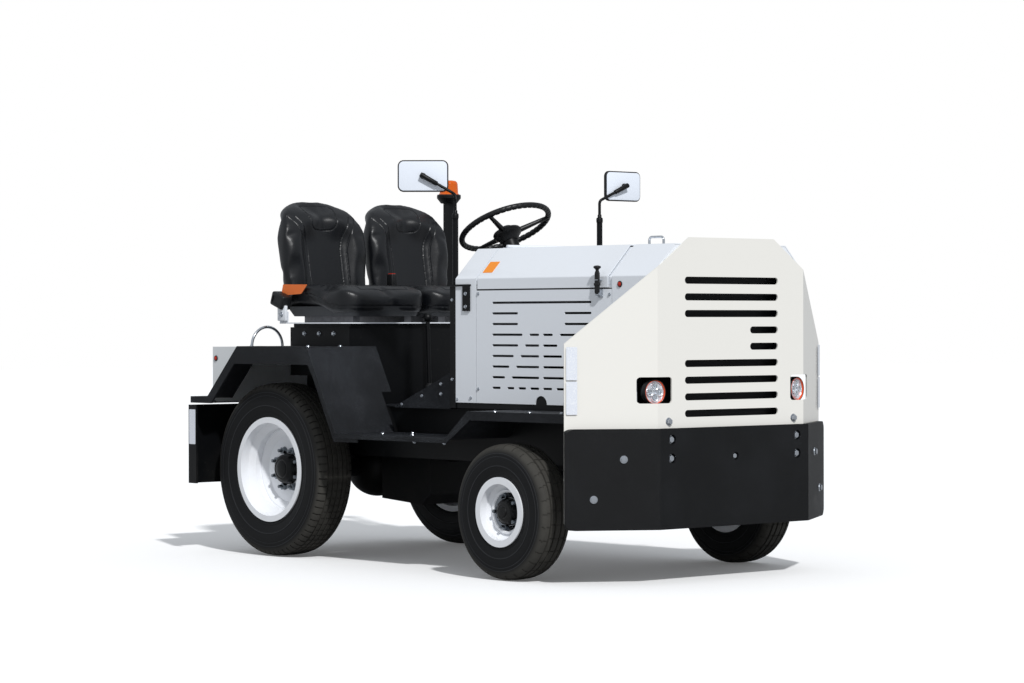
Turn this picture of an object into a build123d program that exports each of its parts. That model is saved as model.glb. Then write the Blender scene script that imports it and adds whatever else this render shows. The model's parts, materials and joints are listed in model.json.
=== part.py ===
from build123d import *

import os
from math import cos, radians, sin

# Airport baggage tug: a four-wheel tow tractor with two seats, a slotted engine bay and plate bumpers.
# Millimetres. +X is forward, +Y the vehicle's left, +Z up. The origin is on the ground, at the middle of the
# length and the width. Heights are above the ground, half-widths are from the centre plane.

# Overall lengths
WHEELBASE = 1580.0
FRONT_OVERHANG = 594.0
REAR_OVERHANG = 460.0
HITCH_REACH = 110.0
LENGTH = HITCH_REACH + REAR_OVERHANG + WHEELBASE + FRONT_OVERHANG
NOSE_X = LENGTH / 2
FRONT_X = NOSE_X - FRONT_OVERHANG
REAR_X = FRONT_X - WHEELBASE
TAIL_X = REAR_X - REAR_OVERHANG

# Wheels: tyre diameter, tyre width, centre's half-track, rim flange radius, rim half-width, bead seat radius,
# disc offset from the tyre's centre, pitch circle radius, nut radius, hub cap radius, hub cap reach
TYRE_D, TYRE_W, TRACK, FLANGE_R, RIM_HALF, SEAT_R, DISC_Y, STUD_PCR, NUT_R, CAP_R, CAP_REACH = range(11)
REAR_WHEEL = (735.0, 195.0, 510.0, 221.5, 85.0, 203.2, -32.0, 82.55, 13.0, 60.0, 50.0)
FRONT_WHEEL = (525.0, 158.0, 616.0, 134.5, 75.0, 114.3, 8.0, 61.0, 10.0, 46.0, 46.0)
REAR_STUDS = 8
FRONT_STUDS = 5
REAR_AXLE_Z = REAR_WHEEL[TYRE_D] / 2
FRONT_AXLE_Z = FRONT_WHEEL[TYRE_D] / 2

# Sheet thicknesses, and the gaps between pieces that are made apart
SHEET = 4.0
PLATE = 5.0
SIDE_GAP = 0.5
FIT_GAP = 0.3
PIN_CLEAR = 0.05
BEAD_GAP = 0.2
LAP = 1.0

# Frame
RAIL_HALF = 350.0
RAIL_T = 12.0
RAIL_TOP = 640.0
RAIL_LOW = 430.0
RAIL_ARCH = 500.0
FLOOR_TOP = RAIL_TOP + PLATE

# Body heights and half-widths
BODY_HALF = 680.0
HOOD_HALF = 425.0
HOOD_FLAT_HALF = 305.0
HOOD_TOP = 1287.0
HOOD_SHOULDER = 1165.0
HOOD_BEND = 8.0
SKIRT_LOW = 1122.0
PANEL_LOW = 668.0
FENDER_TOP = 890.0
STEP_TOP = 535.0
WING_TOP = 645.0
SHELF_TOP = 672.0
TANK_TOP = FENDER_TOP - PLATE
TANK_LOW = SHELF_TOP - 8
PEDESTAL_HALF = 435.0
PEDESTAL_TOP = 970.0
SEAT_PLATE_T = 5.0
SEAT_PLATE_TOP = PEDESTAL_TOP + 20
SEAT_PLATE_HALF = 500.0
SEAT_PITCH = SEAT_PLATE_HALF - 30
TANK_HALF = SEAT_PLATE_HALF + 50
HIGH = 2 * HOOD_TOP

# Stations along X
PEDESTAL_X = (REAR_X - 55, REAR_X + 349)
STEP_BACK_X = REAR_X + 565
TOE_START_X = REAR_X + 630
CAP_BACK_X = REAR_X + 1020
CAP_FRONT_X = CAP_BACK_X + 124
HINGE_X = CAP_FRONT_X + 4
LID_BACK_X = CAP_FRONT_X + 9
NOSE_BACK_X = NOSE_X - 242
LID_FRONT_X = NOSE_BACK_X - 24
LID_CLEAR = 5.5

# Bumper and cowl
BUMPER_T = 21.0
BUMPER_LOW = 211.0
BUMPER_TOP = 590.0
BUMPER_CORNER = 34.0
WING_BACK = 197.0
BUMPER_HALF = 710.6
BUMPER_BEND_HALF = 406.0
COWL_T = 6.0
COWL_TOP = 1311.0
COWL_TOP_HALF = 232.0
COWL_SHOULDER = 1195.0
COWL_TIP_Z = 905.0
COWL_LOW = 235.0
COWL_CORNER = 18.0
COWL_X = NOSE_X - BUMPER_T
COWL_BACK_X = COWL_X - COWL_T

os.makedirs("parts", exist_ok=True)


def save(name, *solids):
    """Write one node: a single solid or several that don't touch."""
    shapes = [s for part in solids for s in part.solids()]
    export_step(shapes[0] if len(shapes) == 1 else Compound(children=shapes), f"parts/{name}.step")


def block(x, y, z):
    """Box between two limits on each axis."""
    size = [abs(hi - lo) for lo, hi in (x, y, z)]
    return Pos(*[(lo + hi) / 2 for lo, hi in (x, y, z)]) * Box(*size)


def side_sheet(points, y0, y1):
    """Prism of an outline in X and Z, from one half-width to another."""
    face = make_face(Plane.XZ.offset(-y0) * Polyline(*points, close=True))
    return extrude(face, amount=y1 - y0, dir=(0, 1, 0))


def front_sheet(points, x0, x1):
    """Prism of an outline in Y and Z, from one X to another."""
    face = make_face(Plane.YZ.offset(x0) * Polyline(*points, close=True))
    return extrude(face, amount=x1 - x0, dir=(1, 0, 0))


def plan_sheet(points, z0, z1):
    """Prism of an outline in X and Y, from one height to another."""
    face = make_face(Plane.XY.offset(z0) * Polyline(*points, close=True))
    return extrude(face, amount=z1 - z0, dir=(0, 0, 1))


def thick(path, t):
    """Closed outline of a folded sheet: the open path and its copy set to the right by t, mitred."""
    inner = []
    for i, (px, py) in enumerate(path):
        normals = []
        for a, b in ((i - 1, i), (i, i + 1)):
            if 0 <= a and b < len(path):
                dx, dy = path[b][0] - path[a][0], path[b][1] - path[a][1]
                n = (dx * dx + dy * dy) ** 0.5
                normals.append((dy / n, -dx / n))
        mx = sum(n[0] for n in normals) / len(normals)
        my = sum(n[1] for n in normals) / len(normals)
        k = t / (mx * mx + my * my)
        inner.append((px + mx * k, py + my * k))
    return list(path) + inner[::-1]


def set_in(path, t):
    """The path's copy alone, set to the right by t."""
    return thick(path, t)[len(path):][::-1]


def bent(path, t, bend):
    """Face of a folded sheet whose outer path is rounded at its bends."""
    inner = set_in(path, t)
    lines = FilletPolyline(*path, radius=bend) + FilletPolyline(*inner, radius=bend - t)
    return make_face(lines + Line(path[0], inner[0]) + Line(path[-1], inner[-1]))


def rod(a, b, r):
    """Round bar between two points."""
    a, b = Vector(*a), Vector(*b)
    low_end = (Align.CENTER, Align.CENTER, Align.MIN)
    return Plane(origin=a, z_dir=b - a) * Cylinder(r, (b - a).length, align=low_end)


def cone(a, b, ra, rb):
    """Tapered round bar between two points."""
    a, b = Vector(*a), Vector(*b)
    low_end = (Align.CENTER, Align.CENTER, Align.MIN)
    return Plane(origin=a, z_dir=b - a) * Cone(ra, rb, (b - a).length, align=low_end)


def bar(points, r, bend):
    """Round bar bent along a path, every bend of one radius."""
    path = FilletPolyline(*points, radius=bend)
    start = Plane(origin=path @ 0, z_dir=path % 0)
    return sweep(start * Circle(r), path=path)


def turned(profile, centre, reach=1):
    """Ring or disc turned about an axle: the profile holds (radius, outward distance) pairs."""
    face = make_face(Polyline(*[(r, d * reach, 0) for r, d in profile], close=True))
    return Pos(*centre) * revolve(face, Axis.Y)


def both(shape):
    """A right-hand piece, for negative Y, and its mirror image."""
    return {"right": shape, "left": shape.mirror(Plane.XZ)}


# Wheels
RIM_SHEET = 6.0
WELL_DEPTH = 24.0
DISC_RISE = 26.0
STUD_R = 7.0
NUT_REACH = 22.0
STUD_REACH = 40.0
TREAD_T = 22.0


def tyre(w, axle_x, axle_z, side):
    """Tyre carcass: rounded shoulders, bulging sidewalls, beads on the rim and an air space."""
    r, half, seat, flange = w[TYRE_D] / 2, w[TYRE_W] / 2, w[SEAT_R], w[FLANGE_R]
    bead = w[RIM_HALF] - RIM_SHEET - BEAD_GAP
    tall = r - flange
    low, shoulder = (flange + 2, bead), (r - tall * 0.2, half * 0.93)
    wall = ThreePointArc(low, (flange + tall * 0.45, half * 0.995), shoulder)
    crown = Polyline(shoulder, (r - 6, half * 0.72), (r, half * 0.45), (r, 0))
    inside = Polyline(
        (r, 0), (r - TREAD_T, 0), (r - TREAD_T - 2, half * 0.62), (r - tall * 0.3, half * 0.78),
        (flange + 12, bead - 14), (seat, bead - 20), (seat, bead), low,
    )
    ring = revolve(make_face(wall + crown + inside), Axis.Y)
    ring = ring + ring.mirror(Plane.XZ)
    return Pos(axle_x, side * w[TRACK], axle_z) * ring


def rim(w, studs, axle_x, axle_z, side):
    """Pressed rim and disc with its studs and hub cap, as one wheel piece."""
    seat, flange, h, t, disc = w[SEAT_R] - BEAD_GAP, w[FLANGE_R], w[RIM_HALF], RIM_SHEET, w[DISC_Y]
    well = seat - WELL_DEPTH
    hump, floor_half = h * 0.45, h * 0.2
    centre = (axle_x, side * w[TRACK], axle_z)
    barrel = [
        (flange, h), (flange, h - t), (seat, h - t), (seat, hump), (well, floor_half), (well, -floor_half),
        (seat, -hump), (seat, t - h), (flange, t - h), (flange, -h), (seat - t, -h), (seat - t, -hump - t),
        (well - t, -floor_half - t), (well - t, floor_half + t), (seat - t, hump + t), (seat - t, h),
    ]
    hub_r, cap_r = w[CAP_R] / 2, w[CAP_R]
    dish = [
        (well - t + LAP, disc + DISC_RISE), (well - t + LAP, disc + DISC_RISE / 2), (well - 34, disc),
        (hub_r, disc), (hub_r, disc + t), (well - 38, disc + t), (well - 12, disc + DISC_RISE),
    ]
    face_y = disc + w[CAP_REACH]
    cap = [
        (0, disc), (cap_r + 3, disc), (cap_r + 3, disc + 14), (cap_r, disc + 18), (cap_r, face_y - 14),
        (cap_r - 5, face_y - 6), (cap_r - 14, face_y - 1), (cap_r - 26, face_y), (0, face_y),
    ]
    wheel = turned(barrel, centre, side) + turned(dish, centre, side) + turned(cap, centre, side)
    for i in range(studs):
        a = radians(360) * (i + 0.5) / studs
        x, z = axle_x + w[STUD_PCR] * cos(a), axle_z + w[STUD_PCR] * sin(a)
        base, mid, tip = [side * (w[TRACK] + disc + d) for d in (0, NUT_REACH, STUD_REACH)]
        wheel += rod((x, base, z), (x, mid, z), w[NUT_R]) + rod((x, mid, z), (x, tip, z), STUD_R)
    return wheel


# Axles: name, wheel sizes, number of studs, axle X, axle height
AXLES = (
    ("front", FRONT_WHEEL, FRONT_STUDS, FRONT_X, FRONT_AXLE_Z),
    ("rear", REAR_WHEEL, REAR_STUDS, REAR_X, REAR_AXLE_Z),
)
for place, w, studs, axle_x, axle_z in AXLES:
    for name, side in (("right", -1), ("left", 1)):
        save(f"{place}_tyre_{name}", tyre(w, axle_x, axle_z, side))
        save(f"{place}_rim_{name}", rim(w, studs, axle_x, axle_z, side))

# Steering knuckles: a fork on the kingpin, a back block, the spindle and the steering arm
KING_HALF = 500.0
KING_R = 14.0
BOSS_R = 26.0
BOSS_HALF = 32.0
EAR_T = 15.0
SPINDLE_R = 22.0
KNUCKLE_T = 14.0
ARM_BACK = 128.0
ARM_EYE_R = 17.0
BALL_R = 8.0
BALL_TAIL = 4.0
TIE_R = 11.0
TIE_EYE_R = 18.0
TIE_H = 24.0
EAR_LOW = FRONT_AXLE_Z - BOSS_HALF - SIDE_GAP
EAR_HIGH = FRONT_AXLE_Z + BOSS_HALF + SIDE_GAP
HUB_FACE = FRONT_WHEEL[TRACK] + FRONT_WHEEL[DISC_Y] - SIDE_GAP
KNUCKLE_BACK = KING_HALF + BOSS_R + 6
ARM_END = (FRONT_X - ARM_BACK, -KING_HALF)
TIE_TOP = EAR_LOW - EAR_T - SIDE_GAP


def round_arm(a, b, ra, rb, z0, z1):
    """Flat arm between two round ends in plan."""
    flat = make_hull([*(Pos(*a) * Circle(ra)).edges(), *(Pos(*b) * Circle(rb)).edges()])
    return extrude(Pos(0, 0, z0) * flat, amount=z1 - z0)


king = (FRONT_X, -KING_HALF)
knuckle_back = (FRONT_X, -KNUCKLE_BACK)
ear_span = (EAR_LOW - EAR_T, EAR_HIGH + EAR_T)
knuckle = rod((*king, ear_span[0]), (*king, ear_span[1]), KING_R)
knuckle += round_arm(king, knuckle_back, BOSS_R, BOSS_R, ear_span[0], EAR_LOW)
knuckle += round_arm(king, knuckle_back, BOSS_R, BOSS_R, EAR_HIGH, ear_span[1])
knuckle += block((FRONT_X - BOSS_R, FRONT_X + BOSS_R), (-KNUCKLE_BACK - KNUCKLE_T, -KNUCKLE_BACK), ear_span)
knuckle += rod((FRONT_X, -KNUCKLE_BACK - LAP, FRONT_AXLE_Z), (FRONT_X, -HUB_FACE, FRONT_AXLE_Z), SPINDLE_R)
knuckle += round_arm(king, ARM_END, BOSS_R, ARM_EYE_R, ear_span[0], EAR_LOW)
knuckle += rod((*ARM_END, TIE_TOP - TIE_H - BALL_TAIL), (*ARM_END, ear_span[0] + LAP), BALL_R)
for name, piece in both(knuckle).items():
    save(f"knuckle_{name}", piece)

tie_z = TIE_TOP - TIE_H / 2
tie_rod = rod((*ARM_END, tie_z), (ARM_END[0], KING_HALF, tie_z), TIE_R)
for y in (-KING_HALF, KING_HALF):
    tie_rod += rod((ARM_END[0], y, TIE_TOP - TIE_H), (ARM_END[0], y, TIE_TOP), TIE_EYE_R)
for y in (-KING_HALF, KING_HALF):
    tie_rod -= rod((ARM_END[0], y, TIE_TOP - 2 * TIE_H), (ARM_END[0], y, TIE_TOP + TIE_H), BALL_R + PIN_CLEAR)
save("tie_rod", tie_rod)

# Front axle beam, with a boss round each kingpin and a pad under each spring
SPRING_Y = 300.0
SPRING_W = 60.0
BEAM_HALF_X = 28.0
BEAM_HALF_Z = 25.0
PAD_T = 12.0
PAD_HALF = 45.0
beam_z = (FRONT_AXLE_Z - BEAM_HALF_Z, FRONT_AXLE_Z + BEAM_HALF_Z)
beam = block((FRONT_X - BEAM_HALF_X, FRONT_X + BEAM_HALF_X), (-KING_HALF, KING_HALF), beam_z)
pad_x = (FRONT_X - PAD_HALF, FRONT_X + PAD_HALF)
for side in (-1, 1):
    y = side * KING_HALF
    boss = rod((FRONT_X, y, FRONT_AXLE_Z - BOSS_HALF), (FRONT_X, y, FRONT_AXLE_Z + BOSS_HALF), BOSS_R)
    beam += boss
    beam -= block(pad_x, (y, y + side * BOSS_R * 2), beam_z) - boss
    beam -= rod((FRONT_X, y, beam_z[0] - BOSS_HALF), (FRONT_X, y, beam_z[1] + BOSS_HALF), KING_R + PIN_CLEAR)
    pad_y = (side * SPRING_Y - SPRING_W / 2, side * SPRING_Y + SPRING_W / 2)
    beam += block(pad_x, pad_y, (beam_z[1] - LAP, beam_z[1] + PAD_T))
save("front_axle", beam)

# Leaf springs: axle X, height of the lowest leaf, number of leaves, main leaf's half-length, rise of its ends
REAR_TUBE_R = 45.0
LEAF_T = 9.0
LEAF_STEP = LEAF_T - 0.5
EYE_R = 18.0
SPRINGS = (
    (FRONT_X, beam_z[1] + PAD_T, 4, 290.0, 46.0),
    (REAR_X, REAR_AXLE_Z + REAR_TUBE_R + PAD_T, 5, 330.0, 30.0),
)


def leaf(x, z, half, rise, y):
    """One arched leaf, its middle on z and its ends raised."""
    low = ThreePointArc((x - half, z + rise), (x, z), (x + half, z + rise))
    high = ThreePointArc((x - half, z + rise + LEAF_T), (x, z + LEAF_T), (x + half, z + rise + LEAF_T))
    ends = Line(low @ 0, high @ 0) + Line(low @ 1, high @ 1)
    face = make_face(Plane.XZ.offset(SPRING_W / 2 - y) * (low + high + ends))
    return extrude(face, amount=SPRING_W, dir=(0, 1, 0))


springs = []
hangers = []
for axle_x, seat_z, count, half, rise in SPRINGS:
    for y in (-SPRING_Y, SPRING_Y):
        eye_z = seat_z + (count - 1) * LEAF_STEP + rise + LEAF_T
        pack = leaf(axle_x, seat_z + (count - 1) * LEAF_STEP, half, rise, y)
        for i in range(count - 1):
            share = (i + 1.6) / (count + 0.6)
            pack += leaf(axle_x, seat_z + i * LEAF_STEP, half * share, rise * share**2, y)
        for x in (axle_x - half, axle_x + half):
            pack += rod((x, y - SPRING_W / 2, eye_z), (x, y + SPRING_W / 2, eye_z), EYE_R)
            hangers.append((x, y, eye_z))
        springs.append(pack)
save("leaf_springs", *springs)

# Rear axle: tube, brake drums, spring seats, differential and its nose
DIFF_R = 135.0
DRUM_R = 140.0
DRUM_SPAN = (64.0, 14.0)
DIFF_NOSE = (105.0, 48.0, 175.0)
drum_face = REAR_WHEEL[TRACK] + REAR_WHEEL[DISC_Y] - SIDE_GAP
rear_axle = rod((REAR_X, -drum_face, REAR_AXLE_Z), (REAR_X, drum_face, REAR_AXLE_Z), REAR_TUBE_R)
for side in (-1, 1):
    inner, outer = [(REAR_X, side * (drum_face - d), REAR_AXLE_Z) for d in DRUM_SPAN]
    rear_axle += rod(inner, outer, DRUM_R)
    pad_y = (side * SPRING_Y - SPRING_W / 2, side * SPRING_Y + SPRING_W / 2)
    pad_z = (REAR_AXLE_Z + 30, REAR_AXLE_Z + REAR_TUBE_R + PAD_T)
    rear_axle += block((REAR_X - PAD_HALF, REAR_X + PAD_HALF), pad_y, pad_z)
rear_axle += Pos(REAR_X, 0, REAR_AXLE_Z) * Sphere(DIFF_R)
nose_r0, nose_r1, nose_reach = DIFF_NOSE
rear_axle += cone((REAR_X, 0, REAR_AXLE_Z), (REAR_X + nose_reach, 0, REAR_AXLE_Z), nose_r0, nose_r1)
save("rear_axle", rear_axle)

# Frame: side rails, cross members, spring hangers and engine mounts
RAIL_BACK_X = TAIL_X + 10
CROSS_Z = 562.0
CROSS_HALF = 30.0
CROSS_X = (RAIL_BACK_X + CROSS_HALF, REAR_X + 180, REAR_X + 470, REAR_X + 800, COWL_BACK_X - 60)
ENGINE_X = (CAP_FRONT_X + 156, LID_FRONT_X - 48)
ENGINE_HALF = 200.0
ENGINE_Z = (400.0, 1040.0)
MOUNT_X = (ENGINE_X[0] + 100, ENGINE_X[1] - 100)
MOUNT_Z = (500.0, 540.0)
HANGER_T = 8.0
WEB_LAP = 4.0
rail_side = [
    (RAIL_BACK_X, RAIL_TOP), (COWL_BACK_X, RAIL_TOP), (COWL_BACK_X, RAIL_LOW - 60),
    (FRONT_X + 340, RAIL_LOW - 60), (FRONT_X + 260, RAIL_LOW), (REAR_X + 260, RAIL_LOW),
    (REAR_X + 150, RAIL_ARCH), (REAR_X - 150, RAIL_ARCH),
    (REAR_X - 250, RAIL_LOW - 30), (RAIL_BACK_X, RAIL_LOW - 30),
]
rail = side_sheet(rail_side, -RAIL_HALF, RAIL_T - RAIL_HALF)
spring_out = -SPRING_Y - SPRING_W / 2 - FIT_GAP
spring_in = -SPRING_Y + SPRING_W / 2 + FIT_GAP
for x, y, z in hangers:
    if y > 0:
        continue
    eye_x = (x - EYE_R, x + EYE_R)
    top = max(z + EYE_R + 30, RAIL_LOW + 20)
    rail += block(eye_x, (spring_out - HANGER_T, spring_out), (z - EYE_R, top))
    rail += block(eye_x, (spring_in, spring_in + HANGER_T), (z - EYE_R, top))
    rail += block(eye_x, (-RAIL_HALF + WEB_LAP, spring_in + HANGER_T), (z + EYE_R + 2, top))
for x in MOUNT_X:
    rail += block((x - 30, x + 30), (-RAIL_HALF + WEB_LAP, -ENGINE_HALF - SIDE_GAP), MOUNT_Z)
frame = rail + rail.mirror(Plane.XZ)
cross_y = (WEB_LAP - RAIL_HALF, RAIL_HALF - WEB_LAP)
for x in CROSS_X:
    frame += block((x - CROSS_HALF, x + CROSS_HALF), cross_y, (CROSS_Z, RAIL_TOP))
save("frame_rails", frame)

save("engine_block", block(ENGINE_X, (-ENGINE_HALF, ENGINE_HALF), ENGINE_Z))

# Radiator on the front cross member: a core between two tanks and two side plates
CORE_HALF = 290.0
CORE_T = 34.0
TANK_T = 56.0
RADIATOR_TOP = 1165.0
CORE_FRAME = 48.0
core_x, tank_x = [(CROSS_X[-1] - t / 2, CROSS_X[-1] + t / 2) for t in (CORE_T, TANK_T)]
core_y = (-CORE_HALF, CORE_HALF)
radiator = block(core_x, core_y, (RAIL_TOP, RADIATOR_TOP))
for z0, z1 in ((RAIL_TOP, RAIL_TOP + CORE_FRAME), (RADIATOR_TOP - CORE_FRAME, RADIATOR_TOP)):
    radiator += block(tank_x, core_y, (z0, z1))
for side in (-1, 1):
    radiator += block(tank_x, (side * (CORE_HALF - SHEET), side * CORE_HALF), (RAIL_TOP, RADIATOR_TOP))
save("radiator", radiator)

# Driveline: gearbox behind the engine, drop box before the axle and a shaft between them
BOX_HALF = 120.0
BOX_LOW = 218.0
BOX_X = (REAR_X + 178, REAR_X + 500)
GEAR_Z = 520.0
GEAR_X = (REAR_X + 960, ENGINE_X[0] - SIDE_GAP)
BELL_LENGTH = 130.0
box_top = CROSS_Z - SIDE_GAP
drop_box = side_sheet(
    [(BOX_X[0], BOX_LOW + 18), (BOX_X[1] - 60, BOX_LOW), (BOX_X[1], BOX_LOW + 44), (BOX_X[1], box_top),
     (BOX_X[0], box_top)], -BOX_HALF, BOX_HALF)
gearbox = cone((GEAR_X[1], 0, GEAR_Z), (GEAR_X[1] - BELL_LENGTH, 0, GEAR_Z), 190, 120)
gearbox += rod((GEAR_X[1] - BELL_LENGTH + LAP, 0, GEAR_Z), (GEAR_X[0], 0, GEAR_Z), 118)
shaft = rod((BOX_X[1] - LAP, 0, GEAR_Z - 90), (GEAR_X[0] + LAP, 0, GEAR_Z - 40), 34)
save("driveline", drop_box + shaft + gearbox)

# Floor pan with its toe board and side gussets
TOE_TOP_Z = 800.0
TOE_HALF = 420.0
TOE_LAP = 24.0
GUSSET_FRONT_X = CAP_BACK_X - 38
toe_path = [
    (TOE_START_X, FLOOR_TOP), (GUSSET_FRONT_X - 2, TOE_TOP_Z - 13), (CAP_BACK_X - SIDE_GAP, TOE_TOP_Z),
]
toe = thick(toe_path, PLATE)
ramp = toe[:2] + toe[-2:]
gusset = [
    (TOE_START_X, RAIL_TOP), (GUSSET_FRONT_X, RAIL_TOP), (GUSSET_FRONT_X, TOE_TOP_Z - 12),
    (TOE_START_X, FLOOR_TOP),
]
floor = block((PEDESTAL_X[1] + 1, TOE_START_X + 2), (-RAIL_HALF - 10, RAIL_HALF + 10), (RAIL_TOP, FLOOR_TOP))
floor += side_sheet(toe, TOE_LAP - TOE_HALF, TOE_HALF - TOE_LAP)
floor_side = side_sheet(gusset, -TOE_HALF, PLATE - TOE_HALF)
floor_side += block((TOE_START_X, GUSSET_FRONT_X), (-TOE_HALF, PLATE - RAIL_HALF), (RAIL_TOP, FLOOR_TOP))
floor_side += side_sheet(ramp, -TOE_HALF, TOE_LAP + PLATE - TOE_HALF)
for piece in both(floor_side).values():
    floor += piece
save("floor_pan", floor)
under_floor = side_sheet([(PEDESTAL_X[1], FLOOR_TOP), *toe_path, (CAP_BACK_X, 0), (PEDESTAL_X[1], 0)],
                         -BODY_HALF, BODY_HALF)

# Plans of the bumper and of the cowl behind it, and the space behind the cowl
BUMPER_PATH = [
    (NOSE_X - WING_BACK, BUMPER_HALF), (NOSE_X, BUMPER_BEND_HALF),
    (NOSE_X, -BUMPER_BEND_HALF), (NOSE_X - WING_BACK, -BUMPER_HALF),
]
COWL_PATH = set_in(BUMPER_PATH, BUMPER_T)
COWL_INNER = set_in(COWL_PATH, COWL_T)
behind_cowl = plan_sheet(COWL_INNER + [(TAIL_X, -2 * BODY_HALF), (TAIL_X, 2 * BODY_HALF)], 0, HIGH)

# Steps and front wings, one plate bent along X with a lip on its outer edge
STEP_FRONT_X = FRONT_X - 330
WING_BACK_X = FRONT_X - 195
STEP_LIP = 18.0
WING_LIP = 35.0
step_path = [(STEP_BACK_X, STEP_TOP), (STEP_FRONT_X, STEP_TOP), (WING_BACK_X, WING_TOP), (NOSE_X, WING_TOP)]
step_lip = [(NOSE_X, WING_TOP - WING_LIP), (WING_BACK_X + 14, WING_TOP - WING_LIP),
            (STEP_FRONT_X + 6, STEP_TOP - STEP_LIP), (STEP_BACK_X, STEP_TOP - STEP_LIP)]
step = side_sheet(thick(step_path, PLATE), -BODY_HALF, -RAIL_HALF)
step += side_sheet(step_path + step_lip, -BODY_HALF, PLATE - BODY_HALF)
step += block((WING_BACK_X + 20, NOSE_X), (-RAIL_HALF, RAIL_T - RAIL_HALF), (WING_TOP - PLATE, WING_TOP))
step = step & behind_cowl
save("step_fenders", *both(step).values())

# Rear fenders: a bent plate, a lip over the wheel arch and an inner lip against the step
ARCH_LIP_Z = 815.0
LIP_IN = PLATE + SIDE_GAP
STEP_UNDER = STEP_TOP - PLATE
fender_path = [(REAR_X - 445, SHELF_TOP), (REAR_X - 324, SHELF_TOP), (REAR_X - 110, FENDER_TOP),
               (REAR_X + 370, FENDER_TOP), (STEP_BACK_X - 5, STEP_TOP)]
lip_front = [(REAR_X + 700, STEP_UNDER - 27), (REAR_X + 545, STEP_UNDER - 27)]
lip_arch = [(REAR_X + 378, ARCH_LIP_Z), (REAR_X - 130, ARCH_LIP_Z), (REAR_X - 298, SHELF_TOP - 28),
            (REAR_X - 445, SHELF_TOP - 28)]
fender = side_sheet(thick(fender_path, PLATE), -BODY_HALF, 40 - RAIL_HALF)
fender -= block((TAIL_X, PEDESTAL_X[1] + 1), (-PEDESTAL_HALF - SIDE_GAP, 0), (0, HIGH))
fender -= block((TAIL_X, PEDESTAL_X[0]), (-TANK_HALF - SIDE_GAP, 0), (0, HIGH))
fender -= block((REAR_X, NOSE_X), (-RAIL_HALF - RAIL_T, 0), (0, RAIL_TOP + 60))
lip_side = fender_path + [(STEP_BACK_X - 4, STEP_UNDER), (REAR_X + 700, STEP_UNDER)] + lip_front + lip_arch
lip = side_sheet(lip_side, LIP_IN - BODY_HALF, LIP_IN + PLATE - BODY_HALF)
lip_side = fender_path[:4] + [(STEP_BACK_X - 25, STEP_TOP + 38)] + lip_arch
lip_top = side_sheet(lip_side, -BODY_HALF, PLATE - BODY_HALF)
save("rear_fenders", *both(fender + lip + lip_top).values())

# Beacon post, which goes through the deck of the rear body and is held by a plate under it
BEACON_X = REAR_X - 130
BEACON_Y = TANK_HALF - 27
BEACON_FOOT_Z = 1560.0
BEACON_TOP_Z = 1630.0
BEACON_R = 42.0
DISC_R = 54.0
DISC_T = 34.0
LENS_FOOT = 12.0
POST_HALF = 18.0
POST_PLATE_T = 8.0
UNDER_DECK = TANK_TOP - SHEET


def post_square(half, z0, z1):
    """Square length of the beacon post, or of the hole that it goes through."""
    return block((BEACON_X - half, BEACON_X + half), (BEACON_Y - half, BEACON_Y + half), (z0, z1))


def on_post(rise):
    """Point on the post's axis, a distance above the lens's foot."""
    return (BEACON_X, BEACON_Y, BEACON_FOOT_Z + rise)


plate_z = (UNDER_DECK - POST_PLATE_T, UNDER_DECK)
post = post_square(POST_HALF, plate_z[0], BEACON_FOOT_Z - DISC_T + LAP)
post += block((BEACON_X - 40, BEACON_X + 40), (BEACON_Y - 45, BEACON_Y + 22), plate_z)
post += cone(on_post(-DISC_T), on_post(-DISC_T / 3), DISC_R - 18, DISC_R)
post += rod(on_post(-DISC_T / 3), on_post(0), DISC_R)
save("beacon_post", post)
lens = rod(on_post(0), on_post(LENS_FOOT), BEACON_R + 5)
lens += cone(on_post(LENS_FOOT), on_post(BEACON_TOP_Z - BEACON_FOOT_Z), BEACON_R, BEACON_R - 5)
save("beacon_lens", lens)

# Rear body box over the axle, rear plate and tow hitch
tank_side = [
    (TAIL_X, RAIL_TOP), (TAIL_X, TANK_TOP), (PEDESTAL_X[0] - 1, TANK_TOP), (PEDESTAL_X[0] - 1, TANK_TOP - 5),
    (REAR_X - 110, TANK_TOP - 7), (REAR_X - 324, TANK_LOW), (TAIL_X + 12, TANK_LOW), (TAIL_X + 12, RAIL_TOP),
]
tank = side_sheet(tank_side, -TANK_HALF, TANK_HALF)
tank -= block((TAIL_X + SHEET, REAR_X), (-TANK_HALF + SHEET, TANK_HALF - SHEET), (0, TANK_TOP - SHEET))
tank -= post_square(POST_HALF + FIT_GAP, TANK_LOW, HIGH)
save("rear_body", tank)

REAR_PLATE_T = 10.0
REAR_PLATE_Z = (296.0, RAIL_TOP - 5)
WING_REACH = 55.0
rear_plate = block((TAIL_X, TAIL_X + REAR_PLATE_T), (-BODY_HALF, BODY_HALF), REAR_PLATE_Z)
for y0, y1 in ((-BODY_HALF, REAR_PLATE_T - BODY_HALF), (BODY_HALF - REAR_PLATE_T, BODY_HALF)):
    rear_plate += block((TAIL_X, TAIL_X + WING_REACH), (y0, y1), REAR_PLATE_Z)
save("rear_plate", rear_plate)

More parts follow.
